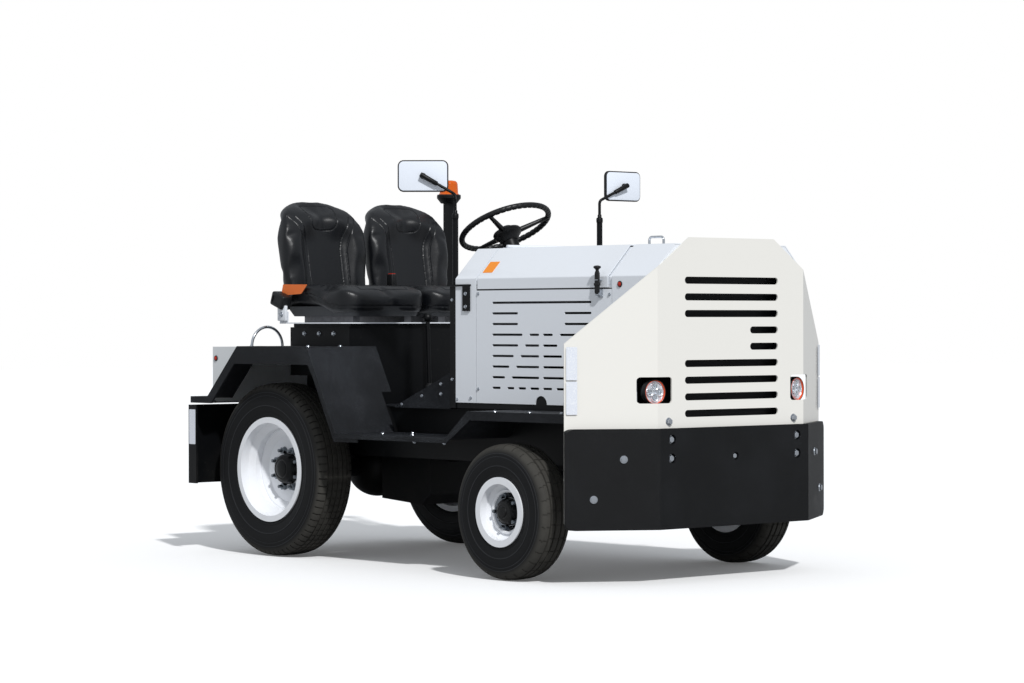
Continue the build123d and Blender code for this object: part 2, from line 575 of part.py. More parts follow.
HITCH_TIP_X = TAIL_X - HITCH_REACH
HITCH_PIN_X = HITCH_TIP_X + 42
HITCH_BORE_R = 16.5
HITCH_PLATE_T = 16.0
HITCH_PLATE_HALF = 90.0
HITCH_PLATE_Z = (320.0, 490.0)
JAW_HALF = 45.0
JAWS = ((360.0, 380.0), (430.0, 450.0))
hitch = block((TAIL_X - HITCH_PLATE_T, TAIL_X), (-HITCH_PLATE_HALF, HITCH_PLATE_HALF), HITCH_PLATE_Z)
jaw_x = HITCH_TIP_X + JAW_HALF
for z0, z1 in JAWS:
    hitch += block((jaw_x, TAIL_X - HITCH_PLATE_T + LAP), (-JAW_HALF, JAW_HALF), (z0, z1))
    hitch += rod((jaw_x, 0, z0), (jaw_x, 0, z1), JAW_HALF)
hitch -= rod((HITCH_PIN_X, 0, HITCH_PLATE_Z[0]), (HITCH_PIN_X, 0, HITCH_PLATE_Z[1]), HITCH_BORE_R)
save("tow_hitch", hitch)

# Front bumper: a plate bent at two places, its four outer corners rounded
bumper_mid = (BUMPER_LOW + BUMPER_TOP) / 2
bumper_face = Pos(0, bumper_mid) * RectangleRounded(2 * BUMPER_HALF, BUMPER_TOP - BUMPER_LOW, BUMPER_CORNER)
bumper = plan_sheet(thick(BUMPER_PATH, BUMPER_T), BUMPER_LOW, BUMPER_TOP)
bumper = bumper & extrude(Plane.YZ * bumper_face, amount=2 * NOSE_X)
save("front_bumper", bumper)

# Front cowl. Grille: rows, pitch, top row's height, half-length, height of a slot, rows that are short
GRILLE_ROWS = 9
GRILLE_PITCH = 63.1
GRILLE_TOP_Z = 1148.0
GRILLE_HALF = 255.4
GRILLE_SLOT_H = 27.0
GRILLE_SHORT_ROWS = (3, 4)
GRILLE_SHORT_START = 100.0
LAMP_R = 48.5
LAMP_Z = 726.0
LAMP_HALF = 390.0
NOTCH_Y = (325.0, 468.0)
NOTCH_Z = (684.0, 783.0)
NOTCH_CORNER = 14.0
tip_half = COWL_PATH[0][1] + LAP
bend_half = COWL_PATH[1][1]
cowl_half = [
    (tip_half, COWL_LOW), (tip_half, COWL_TIP_Z), (bend_half, COWL_SHOULDER), (COWL_TOP_HALF, COWL_TOP),
]
cowl_outline = make_face(Polyline(*cowl_half, *[(-y, z) for y, z in cowl_half[::-1]], close=True))
cowl_outline = fillet(cowl_outline.vertices().filter_by(lambda v: v.Y > COWL_LOW + 1), COWL_CORNER)
cowl = plan_sheet(thick(COWL_PATH, COWL_T), 0, HIGH) & extrude(Plane.YZ * cowl_outline, amount=NOSE_X)
for i in range(GRILLE_ROWS):
    start = GRILLE_SHORT_START if i in GRILLE_SHORT_ROWS else -GRILLE_HALF
    slot = SlotOverall(GRILLE_HALF - start, GRILLE_SLOT_H)
    slot = Pos((start + GRILLE_HALF) / 2, GRILLE_TOP_Z - i * GRILLE_PITCH) * slot
    cowl -= extrude(Plane.YZ.offset(COWL_BACK_X - LAP) * slot, amount=COWL_T + 2 * LAP)
notch_size = (NOTCH_Y[1] - NOTCH_Y[0], NOTCH_Z[1] - NOTCH_Z[0])
for side in (-1, 1):
    notch = Pos(side * sum(NOTCH_Y) / 2, sum(NOTCH_Z) / 2) * RectangleRounded(*notch_size, NOTCH_CORNER)
    cowl -= extrude(Plane.YZ * notch, amount=NOSE_X)
save("front_cowl", cowl)


# Engine bay: lid, dash cap, nose shell, slotted side panels and the frame inside them
def hood_path(low):
    """Section of the bay's sheet in Y and Z, from the right lower edge over the top to the left."""
    half = [(HOOD_HALF, low), (HOOD_HALF, HOOD_SHOULDER), (HOOD_FLAT_HALF, HOOD_TOP)]
    return [(-y, z) for y, z in half] + half[::-1]


def hood_skin(low, x0, x1):
    """Sheet over the bay, rounded at its bends."""
    return extrude(Plane.YZ.offset(x0) * bent(hood_path(low), SHEET, HOOD_BEND), amount=x1 - x0)


def hood_flange(low, x0, x1, depth, t):
    """Folded strip under the sheet over the bay, set in by a depth."""
    path = set_in(hood_path(low), depth) if depth else hood_path(low)
    return front_sheet(thick(path, t), x0, x1)


# Hinge: pin radius, barrel radius, height of its axis, half-length, leaf thickness and number of barrels
HINGE_R = 4.0
BARREL_R = 6.5
HINGE_Z = HOOD_TOP + BARREL_R + 1.5
HINGE_HALF = 260.0
LEAF_Z = (HOOD_TOP - 1, HOOD_TOP + 3)
LEAF_REACH = 28.0
BARRELS = 5
FLANGE_IN = SHEET + LID_CLEAR
FLANGE_T = 3.0
FLANGE_LAP = 5.0
CAP_LOW = 1142.0
POST_TOP = 1134.0
STAY_TAB_X = (REAR_X + 1070, REAR_X + 1110)
STAY_POST_X = REAR_X + 990
STAY_POST_Y = 400.0
ARM_PLATE_Z = (1135.0, 1141.0)
barrel_length = 2 * HINGE_HALF / BARRELS


def barrel(i, r, play):
    """Length of the hinge's barrel number i, shortened at both ends by the play."""
    y0 = i * barrel_length - HINGE_HALF
    return rod((HINGE_X, y0 + play, HINGE_Z), (HINGE_X, y0 + barrel_length - play, HINGE_Z), r)


lid = hood_skin(SKIRT_LOW, LID_BACK_X, LID_FRONT_X)
lid_leaf = block((HINGE_X, LID_BACK_X + LEAF_REACH), (-HINGE_HALF, HINGE_HALF), LEAF_Z)
cap_leaf = block((HINGE_X - LEAF_REACH, HINGE_X), (-HINGE_HALF, HINGE_HALF), LEAF_Z)
for i in range(0, BARRELS, 2):
    cap_leaf += barrel(i, BARREL_R, 0)
    lid_leaf -= barrel(i, BARREL_R + SIDE_GAP, -SIDE_GAP)
for i in range(1, BARRELS, 2):
    lid_leaf += barrel(i, BARREL_R, 0)
    cap_leaf -= barrel(i, BARREL_R + SIDE_GAP, -SIDE_GAP)
pin_ends = [(HINGE_X, y, HINGE_Z) for y in (-HINGE_HALF, HINGE_HALF)]
lid_leaf -= rod(*pin_ends, HINGE_R + PIN_CLEAR)
save("hood_lid", lid + lid_leaf)

cap_back = [(LAP - HOOD_HALF, TOE_TOP_Z), *hood_path(CAP_LOW)[1:5], (HOOD_HALF - LAP, TOE_TOP_Z)]
cap = hood_skin(CAP_LOW, CAP_BACK_X, CAP_FRONT_X)
cap += front_sheet(set_in(cap_back, LAP), CAP_BACK_X, CAP_BACK_X + SHEET)
for side in (-1, 1):
    cap_wall = (side * HOOD_HALF, side * (HOOD_HALF - SHEET))
    cap += block((CAP_BACK_X, CAP_FRONT_X), cap_wall, (PANEL_LOW, POST_TOP))
    cap += block((CAP_FRONT_X - 30, CAP_FRONT_X), cap_wall, (POST_TOP - LAP, CAP_LOW + LAP))
cap += hood_flange(CAP_LOW, CAP_FRONT_X - FLANGE_LAP, CAP_FRONT_X, 0, FLANGE_IN + FLANGE_T)
cap += hood_flange(CAP_LOW, CAP_FRONT_X - FLANGE_LAP, LID_BACK_X + 30, FLANGE_IN, FLANGE_T)
cap += cap_leaf + rod(*pin_ends, HINGE_R)
for side in (-1, 1):
    arm_y = (side * (STAY_POST_Y - 16), side * (HOOD_HALF + 9))
    arm_z = (ARM_PLATE_Z[0] - SIDE_GAP, ARM_PLATE_Z[1] + SIDE_GAP)
    cap -= block((CAP_BACK_X - 1, STAY_TAB_X[1] + 1), arm_y, arm_z)
save("dash_cowl", cap)

LAMP_X = COWL_BACK_X - 16
LAMP_DEEP = 62.0
nose = hood_skin(PANEL_LOW, NOSE_BACK_X, NOSE_X) & behind_cowl
nose -= block((LAMP_X - LAMP_DEEP - 6, NOSE_X), (-BODY_HALF, BODY_HALF), (0, NOTCH_Z[1]))
nose += hood_flange(SKIRT_LOW, NOSE_BACK_X, NOSE_BACK_X + FLANGE_LAP, 0, FLANGE_IN + FLANGE_T)
nose += hood_flange(SKIRT_LOW, NOSE_BACK_X - 45, NOSE_BACK_X + FLANGE_LAP, FLANGE_IN, FLANGE_T)
save("nose_shell", nose)

# Side panel slots: rows, pitch, top row's height, half-length, height of a slot
SIDE_ROWS = 9
SIDE_PITCH = 42.1
SIDE_TOP_Z = 1067.0
SIDE_SLOT_H = 9.0
PANEL_X = (LID_BACK_X - 6, NOSE_BACK_X - 3)
PANEL_TOP = 1116.0
PANEL_MID_X = (LID_BACK_X + LID_FRONT_X) / 2 - 0.5
SIDE_SLOT_HALF = (LID_FRONT_X - LID_BACK_X) / 2 - 90
NOTCH_R = 34.0

# Breaks in a row of slots, as shares of the row's half-length: distance from the panel's middle, and width
PLAIN_ROWS = (1, 2)
PLAIN_BREAK = (0.0, 0.936)
MID_BREAK = (0.0, 0.077)
SLANT_FIRST_ROW = 3
SLANT_START = 0.306
SLANT_STEP = 0.0905
SLANT_BREAK = 0.139
LAST_ROW_BREAKS = ((0.263, 0.084), (0.503, 0.084))


def row_breaks(row):
    """Breaks of one row: none in the top row, one wide one in the next two, then a pair that spreads."""
    if row == 0:
        return []
    if row in PLAIN_ROWS:
        return [PLAIN_BREAK]
    slant = (SLANT_START + SLANT_STEP * (row - SLANT_FIRST_ROW), SLANT_BREAK)
    last = LAST_ROW_BREAKS if row == SIDE_ROWS - 1 else ()
    return [MID_BREAK] + [(s * d, width) for d, width in (slant, *last) for s in (-1, 1)]


panel = block(PANEL_X, (-HOOD_HALF, SHEET - HOOD_HALF), (PANEL_LOW, PANEL_TOP))
for row in range(SIDE_ROWS):
    edges = [-1.0, 1.0]
    for d, width in row_breaks(row):
        edges += [d - width / 2, d + width / 2]
    edges = sorted(edge * SIDE_SLOT_HALF for edge in edges)
    for x0, x1 in zip(edges[::2], edges[1::2]):
        slot_at = Pos(PANEL_MID_X + (x0 + x1) / 2, SIDE_TOP_Z - row * SIDE_PITCH)
        slot = Plane.XZ.offset(HOOD_HALF - 2 * SHEET) * slot_at * SlotOverall(x1 - x0, SIDE_SLOT_H)
        panel -= extrude(slot, amount=3 * SHEET)
notch_ends = [(PANEL_MID_X, y, PANEL_LOW) for y in (-HOOD_HALF - SHEET, 2 * SHEET - HOOD_HALF)]
panel -= rod(*notch_ends, NOTCH_R)
save("side_panels", *both(panel).values())

# Bay frame: a sill with a foot, three posts and a top rail behind each side panel
BAY_HALF = HOOD_HALF - SHEET - FIT_GAP
SILL_TOP = 700.0
BAY_TOP = 1100.0
BAY_BAR = 25.0
bar_y = (-BAY_HALF, BAY_BAR - BAY_HALF)
bay = block((CAP_BACK_X + 5, LAMP_X - LAMP_DEEP - 6), bar_y, (WING_TOP, SILL_TOP))
bay += block((GUSSET_FRONT_X + 3, CAP_BACK_X - SIDE_GAP), (-HOOD_HALF, 30 - HOOD_HALF), (FLOOR_TOP, POST_TOP))
bay += block((GUSSET_FRONT_X + 3, CAP_BACK_X + 30), bar_y, (WING_TOP, SILL_TOP))
bay -= floor
for x0, x1 in ((NOSE_BACK_X - 20, NOSE_BACK_X + 10), (CAP_FRONT_X - 20, CAP_FRONT_X + 20)):
    bay += block((x0, x1), bar_y, (SILL_TOP - LAP, BAY_TOP))
bay += block((CAP_FRONT_X - 20, NOSE_BACK_X + 10), bar_y, (BAY_TOP - 30, BAY_TOP))
bay = bay & behind_cowl
save("bay_frame", *both(bay).values())

# Lid hardware: grab handle and rubber side latches with their anchors
HANDLE_X = (LID_FRONT_X - 208, LID_FRONT_X - 128)
HANDLE_RISE = 38.0
HANDLE_R = 5.0
LATCH_X = LID_FRONT_X - 38
LATCH_Y = -HOOD_HALF - 19
LATCH_Z = (1100.0, 1180.0)
handle_top = HOOD_TOP + HANDLE_RISE
handle_path = [
    (HANDLE_X[0], 0, HOOD_TOP), (HANDLE_X[0], 0, handle_top),
    (HANDLE_X[1], 0, handle_top), (HANDLE_X[1], 0, HOOD_TOP),
]
handle = bar(handle_path, HANDLE_R, 14)
latch = block((LATCH_X - 13, LATCH_X + 13), (LATCH_Y - 7, LATCH_Y + 7), LATCH_Z)
latch += block((LATCH_X - 10, LATCH_X + 10), (LATCH_Y + 6, -HOOD_HALF), (LATCH_Z[1] - 30, LATCH_Z[1] - 18))
latch += rod((LATCH_X, LATCH_Y, LATCH_Z[1] - LAP), (LATCH_X, LATCH_Y, LATCH_Z[1] + 20), 6)
latch += rod((LATCH_X - 16, LATCH_Y, LATCH_Z[1] + 24), (LATCH_X + 16, LATCH_Y, LATCH_Z[1] + 24), 7)
save("lid_hardware", handle, *both(latch).values())

# Lamps: headlamps on brackets, turned out a little, side markers and tail lamps
LAMP_TURN = 10.0
MARKER_R = 15.0
MARKER_REACH = 9.0
MARKERS = ((NOSE_BACK_X + 44, HOOD_HALF, 1134.0), (TAIL_X + 25, TANK_HALF, 835.0))
TAIL_LAMP = (560.0, 560.0, 45.0, 22.0)
lamp_profile = [
    (0, -LAMP_DEEP), (30, 4 - LAMP_DEEP), (LAMP_R - 6, -26), (LAMP_R, -20), (LAMP_R, 0), (LAMP_R - 5, 0),
    (LAMP_R - 8, -6), (0, -3),
]
head = Pos(LAMP_X, -LAMP_HALF, LAMP_Z) * Rot(0, 0, -90 - LAMP_TURN) * turned(lamp_profile, (0, 0, 0))
head += block((LAMP_X - 50, LAMP_X - 10), (-LAMP_HALF + 4, -LAMP_HALF + 34), (WING_TOP, LAMP_Z - 30))
head = head & behind_cowl
lamps = list(both(head).values())
for x, half, z in MARKERS:
    for side in (-1, 1):
        lamps.append(rod((x, side * half, z), (x, side * (half + MARKER_REACH), z), MARKER_R))
tail_y, tail_z, tail_r, tail_t = TAIL_LAMP
for y in (-tail_y, tail_y):
    lamps.append(rod((TAIL_X, y, tail_z), (TAIL_X - tail_t, y, tail_z), tail_r))
save("lamps", *lamps)

# Seat pedestal: a narrow foot between the frame rails and a wide box over it
FOOT_HALF = RAIL_HALF - 5
FOOT_TOP = 765.0
LEG_R = 18.0
LEG_HALF = PEDESTAL_HALF - 55
pedestal_half = [
    (FOOT_HALF, RAIL_TOP), (FOOT_HALF, FOOT_TOP), (PEDESTAL_HALF, FOOT_TOP), (PEDESTAL_HALF, PEDESTAL_TOP),
]
pedestal_path = [(-y, z) for y, z in pedestal_half] + pedestal_half[::-1]
pedestal = front_sheet(pedestal_path, *PEDESTAL_X)
pedestal -= front_sheet(set_in(pedestal_path, PLATE), PEDESTAL_X[0] + PLATE, PEDESTAL_X[1] - PLATE)
for x in (PEDESTAL_X[0] + 40, PEDESTAL_X[1] - 40):
    for y in (-LEG_HALF, 0, LEG_HALF):
        pedestal += rod((x, y, PEDESTAL_TOP - LAP), (x, y, SEAT_PLATE_TOP - SEAT_PLATE_T), LEG_R)
save("seat_pedestal", pedestal)

# Seat plate with a tab at each rear corner, and the seat rails on it
SEAT_PLATE_X = (REAR_X - 45, REAR_X + 372)
TAB_X = (SEAT_PLATE_X[0], SEAT_PLATE_X[0] + 56)
TAB_TOP = SEAT_PLATE_TOP + 46
RAIL_H = 26.0
SEAT_RAIL_HALF = 18.0
SEAT_RAIL_Y = 140.0
seat_plate_z = (SEAT_PLATE_TOP - SEAT_PLATE_T, SEAT_PLATE_TOP)
seat_plate = block(SEAT_PLATE_X, (-SEAT_PLATE_HALF, SEAT_PLATE_HALF), seat_plate_z)
for side in (-1, 1):
    tab_y = (side * SEAT_PLATE_HALF, side * (SEAT_PLATE_HALF - SEAT_PLATE_T))
    seat_plate += block(TAB_X, tab_y, (SEAT_PLATE_TOP - LAP, TAB_TOP))
save("seat_plate", seat_plate)

seat_rails = []
for y in [side * SEAT_PITCH / 2 + d for side in (-1, 1) for d in (-SEAT_RAIL_Y, SEAT_RAIL_Y)]:
    rail_y = (y - SEAT_RAIL_HALF, y + SEAT_RAIL_HALF)
    seat_rails.append(block((REAR_X - 10, REAR_X + 320), rail_y, (SEAT_PLATE_TOP, SEAT_PLATE_TOP + RAIL_H)))
save("seat_rails", *seat_rails)

# Seats: a moulded pan, a cushion on it and a leaning back with side bolsters
PAN_LOW = SEAT_PLATE_TOP + RAIL_H
PAN_TOP = PAN_LOW + 42
CUSHION_LOW = PAN_TOP + FIT_GAP
CUSHION_HALF = SEAT_PITCH / 2 - 5
CUSHION_CORNER = 90.0
PAN_INSET = 14.0
PAN_TAPER = 22.0
BACK_HALF = CUSHION_HALF - 10
BACK_HEIGHT = 492.0
BACK_LEAN = 10.0
BACK_BASE = (REAR_X - 78, -SEAT_PITCH / 2, PAN_LOW + 30)
SEAT_X = (REAR_X - 70, REAR_X + 382)


def seat_plan(inset):
    """Plan of the right seat as a face: square at the back, its front corners rounded."""
    x0, x1 = SEAT_X[0] + inset, SEAT_X[1] - inset
    y0, y1 = inset - CUSHION_HALF, CUSHION_HALF - inset
    face = make_face(Polyline((x0, y0), (x1, y0), (x1, y1), (x0, y1), close=True))
    face = fillet(face.vertices().filter_by(lambda v: v.X > REAR_X + 100), CUSHION_CORNER - inset)
    return Pos(0, -SEAT_PITCH / 2) * face


pan = loft([Pos(0, 0, PAN_LOW) * seat_plan(PAN_INSET + PAN_TAPER), Pos(0, 0, PAN_TOP) * seat_plan(PAN_INSET)])
save("seat_pans", *both(pan).values())

cushion_side = [
    (SEAT_X[0], CUSHION_LOW), (SEAT_X[1], CUSHION_LOW), (SEAT_X[1], CUSHION_LOW + 32),
    (SEAT_X[1] - 12, CUSHION_LOW + 56), (SEAT_X[1] - 42, CUSHION_LOW + 70), (REAR_X + 60, CUSHION_LOW + 80),
    (REAR_X - 10, CUSHION_LOW + 72), (SEAT_X[0] + 10, CUSHION_LOW + 36),
]
cushion = extrude(Pos(0, 0, CUSHION_LOW) * seat_plan(0), amount=200)
cushion = cushion & side_sheet(cushion_side, -SEAT_PITCH, 0)
for name, piece in both(cushion).items():
    save(f"seat_cushion_{name}", piece)

# Back: half-outline seen from the front as (half-width, height), its front in plan as (reach, half-width)
# and its side as (reach, height), all from its lower edge
back_half = [(0.88, 0), (0.95, 0.17), (1.0, 0.38), (1.0, 0.61)]
back_edge = [(BACK_HALF * w, BACK_HEIGHT * h) for w, h in back_half]
crown_mid = (BACK_HALF * 0.72, BACK_HEIGHT * 0.895)
back_reach = [
    (-45, 0.0), (58, 0.0), (62, 0.18), (68, 0.37), (92, 0.51), (88, 0.61), (75, 0.68), (18, 0.8),
    (4, 0.88), (-8, 1.0), (-30, 1.0), (-45, 0.86),
]
front_arc = ThreePointArc(back_edge[-1], crown_mid, (0, BACK_HEIGHT))
half_face = make_face(Polyline((0, 0), *back_edge) + front_arc + Line((0, BACK_HEIGHT), (0, 0)))
back_front = extrude(Plane.YZ.offset(-100) * (half_face + half_face.mirror(Plane.YZ)), amount=250)
plan_half = [(28, 0.0), (34, 0.5), (80, 0.72), (92, 0.88), (70, 1.0), (0, 1.0), (-45, 0.7)]
back_plan = [(x, BACK_HALF * w) for x, w in plan_half] + [(x, -BACK_HALF * w) for x, w in plan_half[:0:-1]]
back = back_front & plan_sheet(back_plan, -10, BACK_HEIGHT + 10)
back = back & side_sheet([(x, BACK_HEIGHT * h) for x, h in back_reach], -BACK_HALF - 10, BACK_HALF + 10)
back = Pos(*BACK_BASE) * Rot(0, -BACK_LEAN, 0) * back
back -= side_sheet([(x - 2 * FIT_GAP if x < REAR_X else x, z) for x, z in cushion_side], -SEAT_PITCH, 0)
back -= block((SEAT_X[0] - 2 * FIT_GAP, SEAT_X[1]), (-SEAT_PITCH, 0), (PAN_LOW - 10, CUSHION_LOW + LAP))
for name, piece in both(back).items():
    save(f"seat_back_{name}", piece)

# Belt reels beside the seats, each on a bracket that is bolted to the seat plate's tab
REEL_R = 28.0
REEL_Z = SEAT_PLATE_TOP + 94
REEL_TILT = 14.0
BRACKET_T = 14.0
reel_back = (TAB_X[0] - 30, -SEAT_PLATE_HALF, REEL_Z + REEL_TILT)
reel_front = (TAB_X[0] + 50, -SEAT_PLATE_HALF, REEL_Z - REEL_TILT)
bracket_y = (-SEAT_PLATE_HALF - BRACKET_T, -SEAT_PLATE_HALF - FIT_GAP)
reel = rod(reel_back, reel_front, REEL_R) + block(TAB_X, bracket_y, (SEAT_PLATE_TOP + 6, REEL_Z - 24))
save("belt_reels", *both(reel).values())

# Mirrors: side, half-width and height of the head's centre, turn of the head about its upright axis
MIRRORS = ((-1, 570.0, 1575.0, 41.7), (1, 540.0, 1565.0, 0.0))
HEAD_W = 203.0
HEAD_H = 127.0
HEAD_T = 16.0
HEAD_R = 24.0
HEAD_STEM_R = 9.0
BALL_REACH = 16.0
STAY_R = 6.0
STAY_BALL_R = 9.0
STAY_TUBE_R = 12.0
STAY_TUBE_TOP = 1420.0
STAY_BEND_Z = 1500.0
STAY_BEND = 14.0
TAB_LOW = 1035.0
stays = []
heads = []
for side, head_half, head_z, turn in MIRRORS:
    foot = (STAY_POST_X, side * STAY_POST_Y)
    arm_y = (side * (STAY_POST_Y - 15), side * (HOOD_HALF + 8))
    stay = block((STAY_POST_X - 16, STAY_TAB_X[1]), arm_y, ARM_PLATE_Z)
    stay += block(STAY_TAB_X, (arm_y[1], side * (HOOD_HALF + FIT_GAP)), (TAB_LOW, ARM_PLATE_Z[1]))
    stay += rod((*foot, ARM_PLATE_Z[1] - LAP), (*foot, STAY_TUBE_TOP), STAY_TUBE_R)
    ahead = Vector(cos(radians(turn)), side * sin(radians(turn)), 0)
    centre = Vector(STAY_POST_X, side * head_half, head_z)
    ball = centre + ahead * BALL_REACH
    bends = [(*foot, STAY_BEND_Z), (ball.X, ball.Y, STAY_BEND_Z)]
    stay_path = [(*foot, STAY_TUBE_TOP - LAP), *bends, tuple(ball)]
    stay += bar(stay_path, STAY_R, STAY_BEND)
    stay += Pos(*ball) * Sphere(STAY_BALL_R)
    stays.append(stay)
    plane = Plane(origin=centre, x_dir=(ahead.Y, -ahead.X, 0), z_dir=-ahead)
    stem_end = centre + ahead * (BALL_REACH - STAY_BALL_R - FIT_GAP)
    heads.append(plane * extrude(RectangleRounded(HEAD_W, HEAD_H, HEAD_R), amount=HEAD_T)
                 + rod(tuple(centre - ahead), tuple(stem_end), HEAD_STEM_R))
save("mirror_heads", *heads)
save("mirror_stays", *stays)

# Steering column and wheel, placed by distances along the column's axis from the wheel's plane
COLUMN_TILT = 27.5
WHEEL_CENTRE = (REAR_X + 577, 235.0, 1396.0)
STEER_R = 194.0
GRIP_R = 12.5
SPOKE_ANGLES = (45, 135, 225, 315)
COLUMN_R = 24.0
COLUMN_FOOT = -760.0
COLUMN_HEAD = -72.0
HUB_PROFILE = [(0, 0.5), (38, 0.5), (48, 18), (62, 34), (62, 50), (44, 60), (34, 66), (20, 73), (0, 75)]
up = (-sin(radians(COLUMN_TILT)), 0, cos(radians(COLUMN_TILT)))
wheel_plane = Plane(origin=WHEEL_CENTRE, x_dir=(up[2], 0, -up[0]), z_dir=up)


def on_column(d):
    """Point on the column's axis, a distance above the wheel's plane."""
    return tuple(c + d * u for c, u in zip(WHEEL_CENTRE, up))


column = rod(on_column(COLUMN_FOOT), on_column(COLUMN_HEAD), COLUMN_R)
column += rod(on_column(COLUMN_HEAD - 58), on_column(COLUMN_HEAD), COLUMN_R + 10)
column += rod(on_column(COLUMN_FOOT), on_column(COLUMN_FOOT + 70), COLUMN_R + 16)
column -= under_floor
save("steering_column", column)
wheel = wheel_plane * Torus(STEER_R, GRIP_R)
for a in SPOKE_ANGLES:
    near, far = (wheel_plane.from_local_coords((r * cos(radians(a)), r * sin(radians(a)), d))
                 for r, d in ((40, COLUMN_HEAD + 42), (STEER_R, 0)))
    wheel += cone(tuple(near), tuple(far), 11, 8)
hub_face = make_face(Polyline(*[(r, 0, COLUMN_HEAD + d) for r, d in HUB_PROFILE], close=True))
wheel += wheel_plane * revolve(hub_face, Axis.Z)
save("steering_wheel", wheel)

# Pedals, and the shift lever with its knob
LEVER_Y = -50.0
LEVER_R = 9.0
KNOB = (REAR_X + 400, LEVER_Y, 1010.0)
KNOB_R = 20.0
PEDAL_Y = (150.0, 300.0)
PEDAL = (REAR_X + 800, 800.0)
PEDAL_ARM_R = 8.0
PEDAL_PAD = (60.0, 70.0, 12.0)
lever = rod((KNOB[0] + 15, LEVER_Y, FLOOR_TOP - 5), KNOB, LEVER_R) - under_floor
lever += Pos(*KNOB) * Sphere(KNOB_R)
pedals = []
pedal_x, pedal_z = PEDAL
for y in PEDAL_Y:
    arm = rod((pedal_x + 100, y, pedal_z - 100), (pedal_x, y, pedal_z), PEDAL_ARM_R)
    pad = Pos(pedal_x, y, pedal_z) * Rot(0, -45, 0) * Box(*PEDAL_PAD)
    pedals.append(arm + pad - under_floor)
save("pedals_and_lever", lever, *pedals)

# Grab hoops on the rear fenders
HOOP_R = 81.0
HOOP_BAR = 6.0
hoop_x, hoop_y = PEDESTAL_X[0] + LAP + HOOP_BAR, 115 - BODY_HALF
hoop_points = [(hoop_x, hoop_y + dy, FENDER_TOP + dz) for dy, dz in ((-HOOP_R, 0), (0, HOOP_R), (HOOP_R, 0))]
hoop_arc = ThreePointArc(*hoop_points)
hoop = sweep(Plane(origin=hoop_arc @ 0, z_dir=hoop_arc % 0) * Circle(HOOP_BAR), path=hoop_arc)
save("grab_hoops", *both(hoop).values())
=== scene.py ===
"""Looks of an airport baggage tug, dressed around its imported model.

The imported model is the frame, and its pieces stay where they are. This script gives them their finishes, puts
shaped pieces in place of the soft ones and the tyres, and adds the small parts that show. All lengths are in
metres. +X is forward, +Y the vehicle's left and +Z up, and the origin is on the ground.
"""

import json
import logging
import math
from collections.abc import Callable, Iterable, Sequence
from dataclasses import dataclass
from enum import Enum

import bpy
from mathutils import Matrix, Vector


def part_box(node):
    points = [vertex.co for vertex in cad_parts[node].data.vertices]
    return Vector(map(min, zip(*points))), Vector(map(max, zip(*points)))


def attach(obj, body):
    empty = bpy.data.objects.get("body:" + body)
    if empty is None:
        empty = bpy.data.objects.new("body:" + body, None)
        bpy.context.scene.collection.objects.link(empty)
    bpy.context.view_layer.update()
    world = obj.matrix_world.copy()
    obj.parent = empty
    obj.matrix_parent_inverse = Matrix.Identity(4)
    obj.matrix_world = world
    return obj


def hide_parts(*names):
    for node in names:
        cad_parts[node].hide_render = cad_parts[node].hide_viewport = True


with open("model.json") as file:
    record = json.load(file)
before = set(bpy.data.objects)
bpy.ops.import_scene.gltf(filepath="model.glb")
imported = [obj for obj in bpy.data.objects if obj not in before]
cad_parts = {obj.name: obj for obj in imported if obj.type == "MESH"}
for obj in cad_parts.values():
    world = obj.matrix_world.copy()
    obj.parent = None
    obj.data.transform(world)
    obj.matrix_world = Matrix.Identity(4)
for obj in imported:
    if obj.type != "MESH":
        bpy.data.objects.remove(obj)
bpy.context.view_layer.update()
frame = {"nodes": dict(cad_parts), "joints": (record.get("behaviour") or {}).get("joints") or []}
NODES = frame["nodes"]

log = logging.getLogger("baggage_tug")

Colour = tuple[float, float, float, float]
Point = tuple[float, float, float]
FULL_TURN = 2 * math.pi
RIGHT, LEFT = -1, 1
SIDES = {"right": RIGHT, "left": LEFT}


def tint(code: str) -> Colour:
    """Colour from its six-digit screen code.

    Args:
        code: Red, green and blue as they look on a screen, such as "EBEAE5".

    Returns:
        The linear colour that a shader takes, with full alpha.
    """
    shares = [int(code[i:i + 2], 16) / 255 for i in (0, 2, 4)]
    linear = [s / 12.92 if s <= 0.04045 else ((s + 0.055) / 1.055) ** 2.4 for s in shares]
    return (*linear, 1.0)


